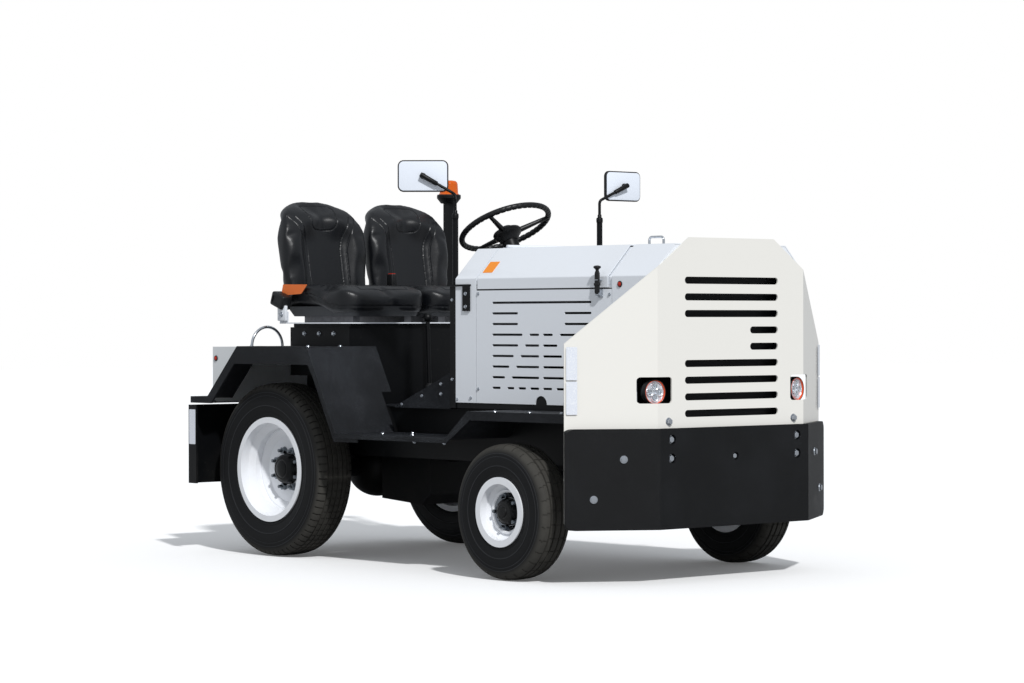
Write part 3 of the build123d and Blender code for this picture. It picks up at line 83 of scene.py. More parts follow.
class Sock:
    """One value in a shader, on which maths is written as Python expressions."""

    def __init__(self, sheet: "Sheet", socket: bpy.types.NodeSocket) -> None:
        """Keeps the socket and the sheet that it belongs to."""
        self.sheet = sheet
        self.socket = socket

    def maths(self, operation: str, *others: "Sock | float", clamp: bool = False) -> "Sock":
        """Adds a Math node with this value first.

        Args:
            operation: Name of the node's operation.
            others: The values that follow this one.
            clamp: Keeps the result between 0 and 1.

        Returns:
            The node's result.
        """
        return self.sheet.node("ShaderNodeMath", {"operation": operation, "use_clamp": clamp}, [self, *others])

    def from_other(self, operation: str, other: "Sock | float") -> "Sock":
        """Adds a Math node with this value second."""
        return self.sheet.node("ShaderNodeMath", {"operation": operation}, [other, self])

    def __add__(self, other: "Sock | float") -> "Sock":
        """Sum."""
        return self.maths("ADD", other)

    def __radd__(self, other: "Sock | float") -> "Sock":
        """Sum with a number first."""
        return self.maths("ADD", other)

    def __sub__(self, other: "Sock | float") -> "Sock":
        """Difference."""
        return self.maths("SUBTRACT", other)

    def __rsub__(self, other: "Sock | float") -> "Sock":
        """Difference from a number."""
        return self.from_other("SUBTRACT", other)

    def __mul__(self, other: "Sock | float") -> "Sock":
        """Product."""
        return self.maths("MULTIPLY", other)

    def __rmul__(self, other: "Sock | float") -> "Sock":
        """Product with a number first."""
        return self.maths("MULTIPLY", other)

    def __pow__(self, other: "Sock | float") -> "Sock":
        """Power."""
        return self.maths("POWER", other)

    def __gt__(self, other: "Sock | float") -> "Sock":
        """1 where this value is greater, 0 elsewhere."""
        return self.maths("GREATER_THAN", other)

    def __lt__(self, other: "Sock | float") -> "Sock":
        """1 where this value is less, 0 elsewhere."""
        return self.maths("LESS_THAN", other)

    def __abs__(self) -> "Sock":
        """Size without its sign."""
        return self.maths("ABSOLUTE")

    def ramp(self, low: float, high: float) -> "Sock":
        """Rises smoothly from 0 at one value to 1 at another.

        Args:
            low: Value where the result is 0.
            high: Value where the result is 1.

        Returns:
            The eased share between the two.
        """
        return self.sheet.node(
            "ShaderNodeMapRange", {"interpolation_type": "SMOOTHSTEP"}, [self, low, high, 0.0, 1.0]
        )


class Sheet:
    """Node sheet of one material, with a Principled shader at its end."""

    def __init__(self, name: str) -> None:
        """Makes the material and its two last nodes."""
        self.material = bpy.data.materials.new(name)
        self.material.use_nodes = True
        self.tree = self.material.node_tree
        self.tree.nodes.clear()
        self.shader = self.tree.nodes.new("ShaderNodeBsdfPrincipled")
        end = self.tree.nodes.new("ShaderNodeOutputMaterial")
        self.tree.links.new(self.shader.outputs["BSDF"], end.inputs["Surface"])

    def feed(self, socket: bpy.types.NodeSocket, value: object) -> None:
        """Links a value to a socket, or sets it as the socket's own number.

        Args:
            socket: Input of a node.
            value: A Sock, a number, a vector or a colour.
        """
        if isinstance(value, Sock):
            self.tree.links.new(value.socket, socket)
        else:
            socket.default_value = value

    def node(self, kind: str, settings: dict[str, object] | None = None,
             inputs: dict[str, object] | Sequence[object] = (), output: int | str = 0) -> Sock:
        """Adds one node.

        Args:
            kind: The node's type.
            settings: Properties that are set before its sockets are fed.
            inputs: Values by socket name, or in the order of the sockets.
            output: The output that is returned, by name or place.

        Returns:
            The chosen output.
        """
        made = self.tree.nodes.new(kind)
        for key, value in (settings or {}).items():
            setattr(made, key, value)
        pairs = inputs.items() if isinstance(inputs, dict) else enumerate(inputs)
        for key, value in pairs:
            self.feed(made.inputs[key], value)
        return Sock(self, made.outputs[output])

    def place(self) -> Sock:
        """Place on the object, in metres."""
        return self.node("ShaderNodeTexCoord", output="Object")

    def axes(self) -> tuple[Sock, Sock, Sock]:
        """The three coordinates of the place on the object."""
        parts = self.node("ShaderNodeSeparateXYZ", inputs=[self.place()])
        node = parts.socket.node
        return tuple(Sock(self, node.outputs[k]) for k in ("X", "Y", "Z"))

    def noise(self, scale: float, detail: float = 3.0, at: Sock | None = None) -> Sock:
        """Soft random pattern between 0 and 1.

        Args:
            scale: Spots in a metre.
            detail: Number of finer layers.
            at: Coordinates, or None for the place on the object.

        Returns:
            The pattern's value.
        """
        return self.node("ShaderNodeTexNoise", inputs={
            "Vector": at or self.place(), "Scale": scale, "Detail": detail, "Roughness": 0.55})

    def cells(self, scale: float, feature: str = "F1", at: Sock | None = None) -> Sock:
        """Distance pattern of scattered cells.

        Args:
            scale: Cells in a metre.
            feature: "F1" for the distance to a cell's middle, "DISTANCE_TO_EDGE" for that to its edge.
            at: Coordinates, or None for the place on the object.

        Returns:
            The distance, in cells.
        """
        return self.node("ShaderNodeTexVoronoi", {"feature": feature}, {
            "Vector": at or self.place(), "Scale": scale}, output="Distance")

    def mix(self, share: Sock | float, low: Sock | Colour, high: Sock | Colour) -> Sock:
        """Blend of two colours.

        Args:
            share: 0 gives the first colour, 1 the second.
            low: First colour.
            high: Second colour.

        Returns:
            The blended colour.
        """
        made = self.tree.nodes.new("ShaderNodeMix")
        made.data_type = "RGBA"
        for socket, value in zip((made.inputs[0], made.inputs[6], made.inputs[7]), (share, low, high)):
            self.feed(socket, value)
        return Sock(self, made.outputs[2])

    def bump(self, height: Sock, depth: float, strength: float = 1.0) -> Sock:
        """Normal that follows a height pattern.

        Args:
            height: Pattern between 0 and 1.
            depth: Metres between its low and its high.
            strength: Share of the effect.

        Returns:
            The bent normal.
        """
        return self.node("ShaderNodeBump", inputs={"Strength": strength, "Distance": depth, "Height": height},
                         output="Normal")

    def surface(self, **inputs: object) -> bpy.types.Material:
        """Sets the shader's sockets and gives the material.

        Args:
            inputs: Values by socket name, with an underscore for each space.

        Returns:
            The finished material.
        """
        for key, value in inputs.items():
            self.feed(self.shader.inputs[key.replace("_", " ")], value)
        return self.material


@dataclass(frozen=True)
class Finish:
    """A surface's name in the library, its record slot and its main colour."""

    name: str
    slot: str
    colour: str
    roughness: float = 0.5

    def dress(self, sheet: Sheet) -> bpy.types.Material:
        """Fills the sheet; a finish of its own kind does more."""
        return sheet.surface(Base_Color=tint(self.colour), Roughness=self.roughness)

    def material(self) -> bpy.types.Material:
        """The finish's material, made once."""
        known = bpy.data.materials.get(self.name)
        return known or self.dress(Sheet(self.name))


@dataclass(frozen=True)
class GlossPaint(Finish):
    """Sprayed body paint with a faint orange peel and a little dust on what faces up."""

    coat: float = 0.35
    dust: float = 0.06

    def dress(self, sheet: Sheet) -> bpy.types.Material:
        """Paint, clear coat, slight waviness and dust."""
        up = sheet.node("ShaderNodeSeparateXYZ", inputs=[sheet.node("ShaderNodeNewGeometry", output="Normal")],
                        output="Z")
        cloud = sheet.noise(5.0, 5.0)
        dusty = up.ramp(0.3, 1.0) * cloud.ramp(0.35, 0.75) * self.dust
        colour = sheet.mix(cloud * 0.35, tint(self.colour), shaded(self.colour, 0.965))
        colour = sheet.mix(dusty, colour, tint("B9B2A4"))
        rough = cloud * 0.08 + (self.roughness - 0.04) + dusty * 0.8
        peel = sheet.bump(sheet.noise(260.0, 2.0), 0.00006, 0.35)
        return sheet.surface(Base_Color=colour, Roughness=rough, Normal=peel, Coat_Weight=self.coat,
                             Coat_Roughness=0.12, Specular_IOR_Level=0.5)


@dataclass(frozen=True)
class SlantBlackPaint(GlossPaint):
    """Body paint that turns black on the side walls in front of a slanted line and below the deck top."""

    start: Point = (-1.258, 0.0, 0.645)
    end: Point = (-1.067, 0.0, 0.850)
    top: float = 0.876

    def dress(self, sheet: Sheet) -> bpy.types.Material:
        """Walls in front of the line, under the deck, in black."""
        x, _, z = sheet.axes()
        lean = (self.end[0] - self.start[0]) / (self.end[2] - self.start[2])
        black = (x - (z - self.start[2]) * lean > self.start[0]) * (z < self.top)
        cloud = sheet.noise(5.0, 5.0)
        colour = sheet.mix(cloud * 0.35, tint(self.colour), shaded(self.colour, 0.965))
        colour = sheet.mix(black, colour, tint("0A0B0D"))
        return sheet.surface(Base_Color=colour, Roughness=cloud * 0.08 + self.roughness - 0.04 + black * 0.12,
                             Coat_Weight=self.coat, Coat_Roughness=0.12)


@dataclass(frozen=True)
class Grit(Finish):
    """Black anti-slip coating: coarse grains that catch the light."""

    grain: float = 520.0
    depth: float = 0.0009
    speck: float = 0.5

    def dress(self, sheet: Sheet) -> bpy.types.Material:
        """Grains in bump, pale specks and worn patches."""
        grains = sheet.cells(self.grain)
        fine = sheet.noise(self.grain * 1.7, 2.0)
        wear = sheet.noise(3.2, 6.0).ramp(0.42, 0.72)
        specks = (fine > 0.63) * (wear * 0.8 + 0.2) * self.speck
        colour = sheet.mix(wear * 0.5, tint(self.colour), shaded(self.colour, 1.9))
        colour = sheet.mix(specks, colour, tint("7E838B"))
        height = 1 - grains.ramp(0.0, 0.7) + fine * 0.4
        return sheet.surface(Base_Color=colour, Roughness=self.roughness - wear * 0.12,
                             Normal=sheet.bump(height, self.depth, 0.55), Specular_IOR_Level=0.22)


@dataclass(frozen=True)
class SatinPaint(Finish):
    """Black chassis paint with a dull bloom of road dust low down."""

    dust_top: float = 0.55
    dust: float = 0.35

    def dress(self, sheet: Sheet) -> bpy.types.Material:
        """Paint with soft streaks, dust towards the ground and fine scratches."""
        _, _, z = sheet.axes()
        cloud = sheet.noise(7.0, 6.0)
        low = (1 - z.ramp(0.12, self.dust_top)) * cloud.ramp(0.3, 0.8) * self.dust
        scratch = sheet.noise(90.0, 4.0).ramp(0.66, 0.72) * 0.12
        colour = sheet.mix(cloud * 0.5, tint(self.colour), shaded(self.colour, 1.5))
        colour = sheet.mix(low * 0.5 + scratch, colour, tint("5A5751"))
        return sheet.surface(Base_Color=colour, Roughness=cloud * 0.14 + (self.roughness - 0.07) + low * 0.3,
                             Normal=sheet.bump(sheet.noise(140.0, 3.0), 0.0002, 0.4), Specular_IOR_Level=0.22)


@dataclass(frozen=True)
class Steel(Finish):
    """Bare, plated or polished metal."""

    metal: float = 1.0
    scale: float = 60.0

    def dress(self, sheet: Sheet) -> bpy.types.Material:
        """Metal with cloudy roughness and a few darker spots."""
        cloud = sheet.noise(self.scale, 5.0)
        colour = sheet.mix(cloud.ramp(0.4, 0.8) * 0.5, tint(self.colour), shaded(self.colour, 0.6))
        return sheet.surface(Base_Color=colour, Metallic=self.metal,
                             Roughness=cloud * 0.2 + self.roughness - 0.1,
                             Normal=sheet.bump(sheet.noise(self.scale * 6, 2.0), 0.00008, 0.4))


@dataclass(frozen=True)
class Moulded(Finish):
    """Moulded plastic or rubber with a fine leather-like grain."""

    grain: float = 900.0
    depth: float = 0.00015

    def dress(self, sheet: Sheet) -> bpy.types.Material:
        """Grain in bump and a slight drift of the colour."""
        cloud = sheet.noise(18.0, 4.0)
        colour = sheet.mix(cloud * 0.5, tint(self.colour), shaded(self.colour, 1.45))
        height = 1 - sheet.cells(self.grain).ramp(0.1, 0.6)
        return sheet.surface(Base_Color=colour, Roughness=cloud * 0.12 + self.roughness - 0.06,
                             Normal=sheet.bump(height, self.depth, 0.5), Specular_IOR_Level=0.4)


@dataclass(frozen=True)
class Vinyl(Finish):
    """Black seat vinyl: a pebbled grain over a soft sheen, a little paler in cloudy patches."""

    def dress(self, sheet: Sheet) -> bpy.types.Material:
        """Pebbles, creases and sheen."""
        cloud = sheet.noise(9.0, 6.0)
        pebbles = sheet.cells(620.0, "DISTANCE_TO_EDGE").ramp(0.0, 0.28)
        crease = sheet.noise(38.0, 5.0)
        colour = sheet.mix(cloud * 0.5, tint(self.colour), shaded(self.colour, 1.5))
        rough = cloud * 0.08 + self.roughness - 0.04 + (1 - pebbles) * 0.06
        height = pebbles * 0.6 + crease * 0.3
        return sheet.surface(Base_Color=colour, Roughness=rough, Normal=sheet.bump(height, 0.00025, 0.35),
                             Specular_IOR_Level=0.45)


@dataclass(frozen=True)
class TyreRubber(Finish):
    """Tyre compound, greyer where it meets the road, with fine moulding lines on the walls."""

    axle_z: float = 0.3675
    axle_x: float = -0.802
    road_r: float = 0.35
    flange_r: float = 0.2215

    # Share of the wall's height of each moulded ring, along which a paler grey line is painted
    RINGS = (0.338, 0.618, 0.718)

    def dress(self, sheet: Sheet) -> bpy.types.Material:
        """Rings round the axle, dust in the tread and a dull sheen."""
        x, _, z = sheet.axes()
        dx, dz = x - self.axle_x, z - self.axle_z
        radius = (dx * dx + dz * dz) ** 0.5
        road = radius.ramp(self.road_r - 0.03, self.road_r)
        cloud = sheet.noise(14.0, 6.0)
        rings = (radius * 1500.0).maths("SINE") * 0.5 + 0.5
        colour = sheet.mix(cloud.ramp(0.3, 0.8) * 0.4, tint(self.colour), shaded(self.colour, 1.7))
        colour = sheet.mix(road * (cloud * 0.5 + 0.3), colour, tint("504E49"))
        # A paler grey line along each moulded ring
        for share in self.RINGS:
            middle = self.flange_r + (self.road_r + 0.012 - self.flange_r) * share
            line = 1 - abs(radius - middle).ramp(0.0004, 0.0018)
            colour = sheet.mix(line * (cloud * 0.5 + 0.2), colour, tint("4A4C50"))
        height = rings * (1 - road) * 0.5 + sheet.noise(300.0, 3.0)
        return sheet.surface(Base_Color=colour, Roughness=cloud * 0.15 + self.roughness - 0.05 + road * 0.12,
                             Normal=sheet.bump(height, 0.0003, 0.5), Specular_IOR_Level=0.25)


@dataclass(frozen=True)
class WheelPaint(Finish):
    """White wheel paint, with the studs in plated steel and the hub in black, told apart by where they are."""

    axle: Point = (0.0, 0.0, 0.0)
    side: int = RIGHT
    disc: float = 0.0
    hub_r: float = 0.05
    stud_r: float = 0.1

    def dress(self, sheet: Sheet) -> bpy.types.Material:
        """Masks from the distance to the axle and along it."""
        x, y, z = sheet.axes()
        dx, dz = x - self.axle[0], z - self.axle[2]
        radius = (dx * dx + dz * dz) ** 0.5
        out = (y * self.side) - self.disc
        hub = (radius < self.hub_r) * (out > 0.0005)
        stud = (out > 0.0085) * (radius < self.stud_r) * (1 - hub)
        cloud = sheet.noise(11.0, 5.0)
        dirt = cloud.ramp(0.45, 0.8) * 0.14
        colour = sheet.mix(dirt, tint(self.colour), tint("A9A49A"))
        colour = sheet.mix(stud, colour, tint("8D9299"))
        colour = sheet.mix(hub, colour, tint("0E0F11"))
        rough = cloud * 0.15 + self.roughness - 0.05 + hub * 0.1 - stud * 0.1
        return sheet.surface(Base_Color=colour, Metallic=stud * 0.9, Roughness=rough, Coat_Weight=0.25,
                             Coat_Roughness=0.15, Normal=sheet.bump(sheet.noise(200.0, 2.0), 0.0001, 0.3))


@dataclass(frozen=True)
class Lens(Finish):
    """Clear or coloured lamp plastic."""

    see_through: float = 0.6

    def dress(self, sheet: Sheet) -> bpy.types.Material:
        """Transmissive plastic with faint ribs."""
        ribs = sheet.noise(80.0, 2.0)
        return sheet.surface(Base_Color=tint(self.colour), Roughness=self.roughness, IOR=1.49,
                             Transmission_Weight=self.see_through, Normal=sheet.bump(ribs, 0.0002, 0.3))


@dataclass(frozen=True)
class Webbing(Finish):
    """Woven belt: fine ribs across a flat strap."""

    def dress(self, sheet: Sheet) -> bpy.types.Material:
        """Ribs in colour and bump."""
        x, y, z = sheet.axes()
        ribs = ((x + y + z) * 2600.0).maths("SINE") * 0.5 + 0.5
        colour = sheet.mix(ribs * 0.45, tint(self.colour), shaded(self.colour, 0.6))
        return sheet.surface(Base_Color=colour, Roughness=self.roughness, Normal=sheet.bump(ribs, 0.0004, 0.7),
                             Sheen_Weight=0.2)


@dataclass(frozen=True)
class Reflector(Finish):
    """Reflective tape: honeycomb cells under a clear film."""

    def dress(self, sheet: Sheet) -> bpy.types.Material:
        """Cells with paler walls."""
        walls = 1 - sheet.cells(170.0, "DISTANCE_TO_EDGE").ramp(0.03, 0.09)
        colour = sheet.mix(walls, tint(self.colour), tint("F2F4F8"))
        return sheet.surface(Base_Color=colour, Metallic=0.15 - walls * 0.1,
                             Roughness=walls * 0.1 + self.roughness, Coat_Weight=0.6, Coat_Roughness=0.08)


def shaded(code: str, share: float) -> Colour:
    """A screen colour made lighter or darker.

    Args:
        code: Six-digit screen code.
        share: Factor on its linear light.

    Returns:
        The changed colour.
    """
    return (*[min(1.0, c * share) for c in tint(code)[:3]], 1.0)


class Paint:
    """The finishes of this vehicle."""

    COWL = GlossPaint("cowl_white", "white_paint", "E8E6E0", 0.3)
    # Painted shade: the rear body takes the cowl's white paint made darker, for the shade that it lies in
    REAR = SlantBlackPaint("rear_body_white_painted_shade", "white_paint", "D6D9DB", 0.3, 0.1)
    BAY = GlossPaint("bay_white", "bay_paint", "E4E8EE", 0.3)
    GRIT = Grit("anti_slip_black", "black_texture", "0C0E12", 0.54, speck=1.0)
    BUMPER = Grit("bumper_black", "bumper_paint", "08090B", 0.5, grain=900.0, depth=0.0004, speck=0.18)
    FRAME = SatinPaint("chassis_black", "black_paint", "08090B", 0.42)
    IRON = SatinPaint("engine_black", "engine_iron", "141517", 0.55)
    BARE = Steel("bare_steel", "raw_steel", "77777A", 0.42)
    PLATED = Steel("plated_steel", "raw_steel", "C6CBD2", 0.24)
    CHROME = Steel("polished_steel", "raw_steel", "DCE0E6", 0.14)
    PLASTIC = Moulded("moulded_black", "black_plastic", "0D0E10", 0.45)
    RUBBER = Moulded("black_rubber", "black_plastic", "121315", 0.62, 700.0, 0.0003)
    PAN = Moulded("seat_pan_grey", "black_plastic", "2A2C2F", 0.5)
    VINYL = Vinyl("seat_vinyl_black", "seat_vinyl", "090B0F", 0.33)
    AMBER = Lens("beacon_amber", "amber_lens", "E06408", 0.16, 0.15)
    CLEAR = Lens("clear_lens", "lamp_glass", "F2F5F8", 0.05, 0.95)
    RED = Lens("red_lens", "lamp_glass", "C02A10", 0.15, 0.2)
    ORANGE = Moulded("orange_plate", "amber_lens", "EE8A26", 0.4, 1200.0, 0.00005)
    BELT = Webbing("orange_webbing", "amber_lens", "F0762A", 0.7)
    TAPE = Reflector("reflective_tape", "lamp_glass", "DDE2EC", 0.3)
    MIRROR_BACK = GlossPaint("mirror_back", "bay_paint", "E4EAF4", 0.32, 0.2, 0.0)
    MIRROR = Steel("mirror_glass", "lamp_glass", "E8ECF0", 0.1, 1.0, 4.0)
    HUB = SatinPaint("hub_black", "black_paint", "0E0F11", 0.4)
    NUT = Steel("zinc_nut", "raw_steel", "7C8288", 0.3)
    GRIP = Moulded("steering_grip", "black_plastic", "0C0D0F", 0.38, 1100.0, 0.0001)
    LAMP_RING = Moulded("lamp_ring", "lamp_glass", "E2552A", 0.4, 1500.0, 0.00004)
    REFLECTOR_CUP = Steel("lamp_reflector", "lamp_glass", "E6EAF0", 0.22, 0.55, 30.0)


CAD_FINISHES = {
    "front_cowl": Paint.COWL, "rear_body": Paint.REAR, "nose_shell": Paint.BAY, "dash_cowl": Paint.BAY,
    "hood_lid": Paint.BAY, "side_panels": Paint.BAY, "seat_plate": Paint.BAY, "front_bumper": Paint.BUMPER,
    "step_fenders": Paint.GRIT, "rear_fenders": Paint.GRIT, "floor_pan": Paint.GRIT, "rear_plate": Paint.FRAME,
    "tow_hitch": Paint.FRAME, "frame_rails": Paint.FRAME, "bay_frame": Paint.FRAME, "seat_pedestal": Paint.FRAME,
    "beacon_post": Paint.FRAME, "steering_column": Paint.FRAME, "front_axle": Paint.FRAME,
    "rear_axle": Paint.FRAME, "leaf_springs": Paint.FRAME, "knuckle_right": Paint.FRAME,
    "knuckle_left": Paint.FRAME, "mirror_stays": Paint.FRAME, "pedals_and_lever": Paint.FRAME,
    "engine_block": Paint.IRON, "driveline": Paint.IRON, "seat_rails": Paint.BARE, "tie_rod": Paint.BARE,
    "grab_hoops": Paint.CHROME, "belt_reels": Paint.PLASTIC, "lid_hardware": Paint.RUBBER,
    "steering_wheel": Paint.PLASTIC, "beacon_lens": Paint.AMBER, "lamps": Paint.PLASTIC,
    "mirror_heads": Paint.MIRROR_BACK, "seat_cushion_right": Paint.VINYL, "seat_cushion_left": Paint.VINYL,
    "seat_back_right": Paint.VINYL, "seat_back_left": Paint.VINYL, "seat_pans": Paint.PAN,
    "radiator": Paint.IRON,
}


def dress(piece: bpy.types.Object, finish: Finish) -> None:
    """Gives an object one finish.

    Args:
        piece: Mesh object.
        finish: Its finish.
    """
    piece.data.materials.clear()
    piece.data.materials.append(finish.material())


class Kind(Enum):
    """What is picked in edit mode: its place in Blender's vertex, edge and face switches."""

    VERTEX = 0
    EDGE = 1
    FACE = 2


def object_mode() -> None:
    """Leaves edit mode, if it is on."""
    if bpy.context.object and bpy.context.object.mode == "EDIT":
        bpy.ops.object.mode_set(mode="OBJECT")


class Work:
    """One mesh being modelled: a primitive is placed, then cut, grown and rounded in edit mode."""

    def __init__(self, name: str) -> None:
        """Takes the object that was just added, and applies its place and size."""
        self.piece = bpy.context.object
        self.piece.name = name
        bpy.ops.object.transform_apply(location=True, rotation=True, scale=True)

    @classmethod
    def block(cls, name: str, low: Point, high: Point) -> "Work":
        """Box between two corners.

        Args:
            name: The new object's name.
            low: Corner with the smaller coordinates.
            high: Corner with the larger ones.

        Returns:
            The box.
        """
        object_mode()
        middle = [(a + b) / 2 for a, b in zip(low, high)]
        size = [b - a for a, b in zip(low, high)]
        bpy.ops.mesh.primitive_cube_add(size=1.0, location=middle, scale=size)
        return cls(name)

    @classmethod
    def packed(cls, name: str, node: str) -> "Work":
        """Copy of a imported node's mesh, which may be changed.

        Args:
            name: The new object's name.
            node: The node.

        Returns:
            The copy.
        """
        object_mode()
        piece = bpy.data.objects.new(name, NODES[node].data.copy())
        bpy.context.collection.objects.link(piece)
        bpy.ops.object.select_all(action="DESELECT")
        piece.select_set(True)
        bpy.context.view_layer.objects.active = piece
        return cls(name)

    @classmethod
    def round(cls, name: str, start: Point, end: Point, radius: float, tip: float | None = None,
              sides: int = 32) -> "Work":
        """Cylinder or cone between two points.

        Args:
            name: The new object's name.
            start: Middle of the first end.
            end: Middle of the second end.
            radius: Radius at the start.
            tip: Radius at the end, or None for the same.
            sides: Number of sides.

        Returns:
            The solid.
        """
        object_mode()
        start, end = Vector(start), Vector(end)
        turn = (end - start).to_track_quat("Z", "Y").to_euler()
        bpy.ops.mesh.primitive_cone_add(
            vertices=sides, radius1=radius, radius2=radius if tip is None else tip,
            depth=(end - start).length, location=(start + end) / 2, rotation=turn)
        return cls(name)

    @classmethod
    def traced(cls, name: str, points: Sequence[Vector]) -> "Work":
        """Chain of edges through points, left in edit mode.

        Args:
            name: The new object's name.
            points: The chain's points.

        Returns:
            The chain.
        """
        object_mode()
        bpy.ops.mesh.primitive_plane_add(size=0.001, location=points[0])
        work = cls(name)
        work.enter(Kind.VERTEX)
        bpy.ops.mesh.select_all(action="SELECT")
        bpy.ops.mesh.merge(type="CENTER")
        for a, b in zip(points, points[1:]):
            bpy.ops.mesh.extrude_vertices_move(TRANSFORM_OT_translate={"value": b - a})
        return work

    @classmethod
    def turned(cls, name: str, profile: Sequence[tuple[float, float]], at: Point, along: Point,
               steps: int = 48) -> "Work":
        """Solid turned about an axis; a profile that starts and ends off the axis is closed into a ring.

        Args:
            name: The new object's name.
            profile: Rows of radius and distance along the axis.
            at: Point where that distance is 0.
            along: Direction of the axis.
            steps: Number of steps in the full turn.

        Returns:
            The solid.
        """
        at, along = Vector(at), Vector(along).normalized()
        across = along.orthogonal().normalized()
        rows = list(profile)
        if rows[0][0] > 0 or rows[-1][0] > 0:
            rows.append(rows[0])
        work = cls.traced(name, [at + across * r + along * d for r, d in rows])
        bpy.ops.mesh.select_all(action="SELECT")
        bpy.ops.mesh.spin(steps=steps, angle=FULL_TURN, center=at, axis=along)
        return work.tidy()

    @classmethod
    def plate(cls, name: str, outline: Sequence[Point], depth: Point) -> "Work":
        """Flat plate with a closed outline.

        Args:
            name: The new object's name.
            outline: Corners of one face.
            depth: Vector from that face to the other.

        Returns:
            The plate.
        """
        work = cls.traced(name, [Vector(p) for p in outline])
        bpy.ops.mesh.select_all(action="SELECT")
        bpy.ops.mesh.edge_face_add()
        bpy.ops.mesh.extrude_region_move(TRANSFORM_OT_translate={"value": depth})
        return work.tidy()

    @classmethod
    def tube(cls, name: str, path: Sequence[Point], radius: float, bend: float, sides: int = 18) -> "Work":
        """Round bar along a path with rounded corners.

        Args:
            name: The new object's name.
            path: Corners of the bar's middle line.
            radius: Radius of the bar.
            bend: Radius of the middle line at each corner.
            sides: Number of sides of the bar.

        Returns:
            The bar, closed at both ends.
        """
        object_mode()
        points = [Vector(p) for p in path]
        here, heading = points[0], (points[1] - points[0]).normalized()
        turn = heading.to_track_quat("Z", "Y").to_euler()
        bpy.ops.mesh.primitive_circle_add(vertices=sides, radius=radius, location=here, rotation=turn)
        work = cls(name)
        work.enter(Kind.EDGE)
        bpy.ops.mesh.select_all(action="SELECT")
        for corner, after in zip(points[1:], points[2:]):
            onward = (after - corner).normalized()
            angle = heading.angle(onward)
            cut = bend * math.tan(angle / 2)
            stop = corner - heading * cut
            work.grow(stop - here)
            axis = heading.cross(onward).normalized()
            bpy.ops.mesh.spin(steps=8, angle=-angle, center=stop + axis.cross(heading) * bend, axis=axis)
            here, heading = corner + onward * cut, onward
        work.grow(points[-1] - here)
        bpy.ops.mesh.select_all(action="SELECT")
        bpy.ops.mesh.remove_doubles(threshold=0.00001)
        bpy.ops.mesh.fill_holes(sides=0)
        return work.tidy()

    def enter(self, kind: Kind) -> None:
        """Edit mode for one kind of part."""
        self.leave()
        bpy.context.view_layer.objects.active = self.piece
        bpy.context.tool_settings.mesh_select_mode = [kind is k for k in Kind]
        bpy.ops.object.mode_set(mode="EDIT")

    def leave(self) -> None:
        """Object mode, with only this piece selected."""
        object_mode()
        bpy.ops.object.select_all(action="DESELECT")
        self.piece.select_set(True)
        bpy.context.view_layer.objects.active = self.piece

    def tidy(self) -> "Work":
        """Merges doubles and turns every face outwards."""
        self.enter(Kind.VERTEX)
        bpy.ops.mesh.select_all(action="SELECT")
        bpy.ops.mesh.remove_doubles(threshold=0.00001)
        bpy.ops.mesh.normals_make_consistent(inside=False)
        self.leave()
        return self

    def pick(self, kind: Kind, test: Callable[[Vector, Vector], bool]) -> "Work":
        """Selects parts of the mesh and stays in edit mode.

        Args:
            kind: Vertices, edges or faces.
            test: True for a part's place and its normal, or its direction for an edge.

        Returns:
            This work.
        """
        self.leave()
        mesh = self.piece.data
        for group in (mesh.vertices, mesh.edges, mesh.polygons):
            group.foreach_set("select", [False] * len(group))
        if kind is Kind.FACE:
            for face in mesh.polygons:
                face.select = test(face.center, face.normal)
        elif kind is Kind.EDGE:
            for edge in mesh.edges:
                a, b = (mesh.vertices[i].co for i in edge.vertices)
                edge.select = test((a + b) / 2, (b - a).normalized())
        else:
            for vertex in mesh.vertices:
                vertex.select = test(vertex.co, vertex.normal)
        self.enter(kind)
        return self

    def facing(self, way: Point, least: float = 0.99) -> "Work":
        """Selects the faces that look one way."""
        way = Vector(way).normalized()
        return self.pick(Kind.FACE, lambda place, normal: normal.dot(way) > least)

    def running(self, way: Point, least: float = 0.99) -> "Work":
        """Selects the edges that run one way."""
        way = Vector(way).normalized()
        return self.pick(Kind.EDGE, lambda place, along: abs(along.dot(way)) > least)

    def grow(self, by: Point) -> "Work":
        """Extrudes what is selected by a vector."""
        bpy.ops.mesh.extrude_region_move(TRANSFORM_OT_translate={"value": by})
        return self

    def sink(self, depth: float) -> "Work":
        """Extrudes the selected faces inwards along their normals."""
        bpy.ops.mesh.extrude_region_shrink_fatten(TRANSFORM_OT_shrink_fatten={"value": -depth})
        return self

    def inset(self, width: float, depth: float = 0.0) -> "Work":
        """Insets the selected faces, and moves them outwards by a depth."""
        bpy.ops.mesh.inset(thickness=width, depth=depth)
        return self

    def bevel(self, width: float, segments: int = 2) -> "Work":
        """Rounds the selected edges."""
        bpy.ops.mesh.bevel(offset=width, segments=segments, affect="EDGES", clamp_overlap=True)
        return self

    def rounded(self, width: float, segments: int = 2, least: float = 0.5) -> "Work":
        """Rounds every edge that is sharp now.

        Args:
            width: Width of the rounding.
            segments: Number of its steps.
            least: Smallest angle, in radians, between the faces of a sharp edge.

        Returns:
            This work.
        """
        self.enter(Kind.EDGE)
        bpy.ops.mesh.select_all(action="DESELECT")
        bpy.ops.mesh.edges_select_sharp(sharpness=least)
        return self.bevel(width, segments)

    def set_at(self, place: Point, turn: tuple[float, float, float] = (0.0, 0.0, 0.0)) -> "Work":
        """Moves a piece that was modelled round the origin to its place.

        Args:
            place: Where its origin goes.
            turn: Angles about the three axes, in radians.

        Returns:
            This work.
        """
        self.leave()
        self.piece.rotation_euler = turn
        self.piece.location = place
        bpy.ops.object.transform_apply(location=True, rotation=True, scale=True)
        return self

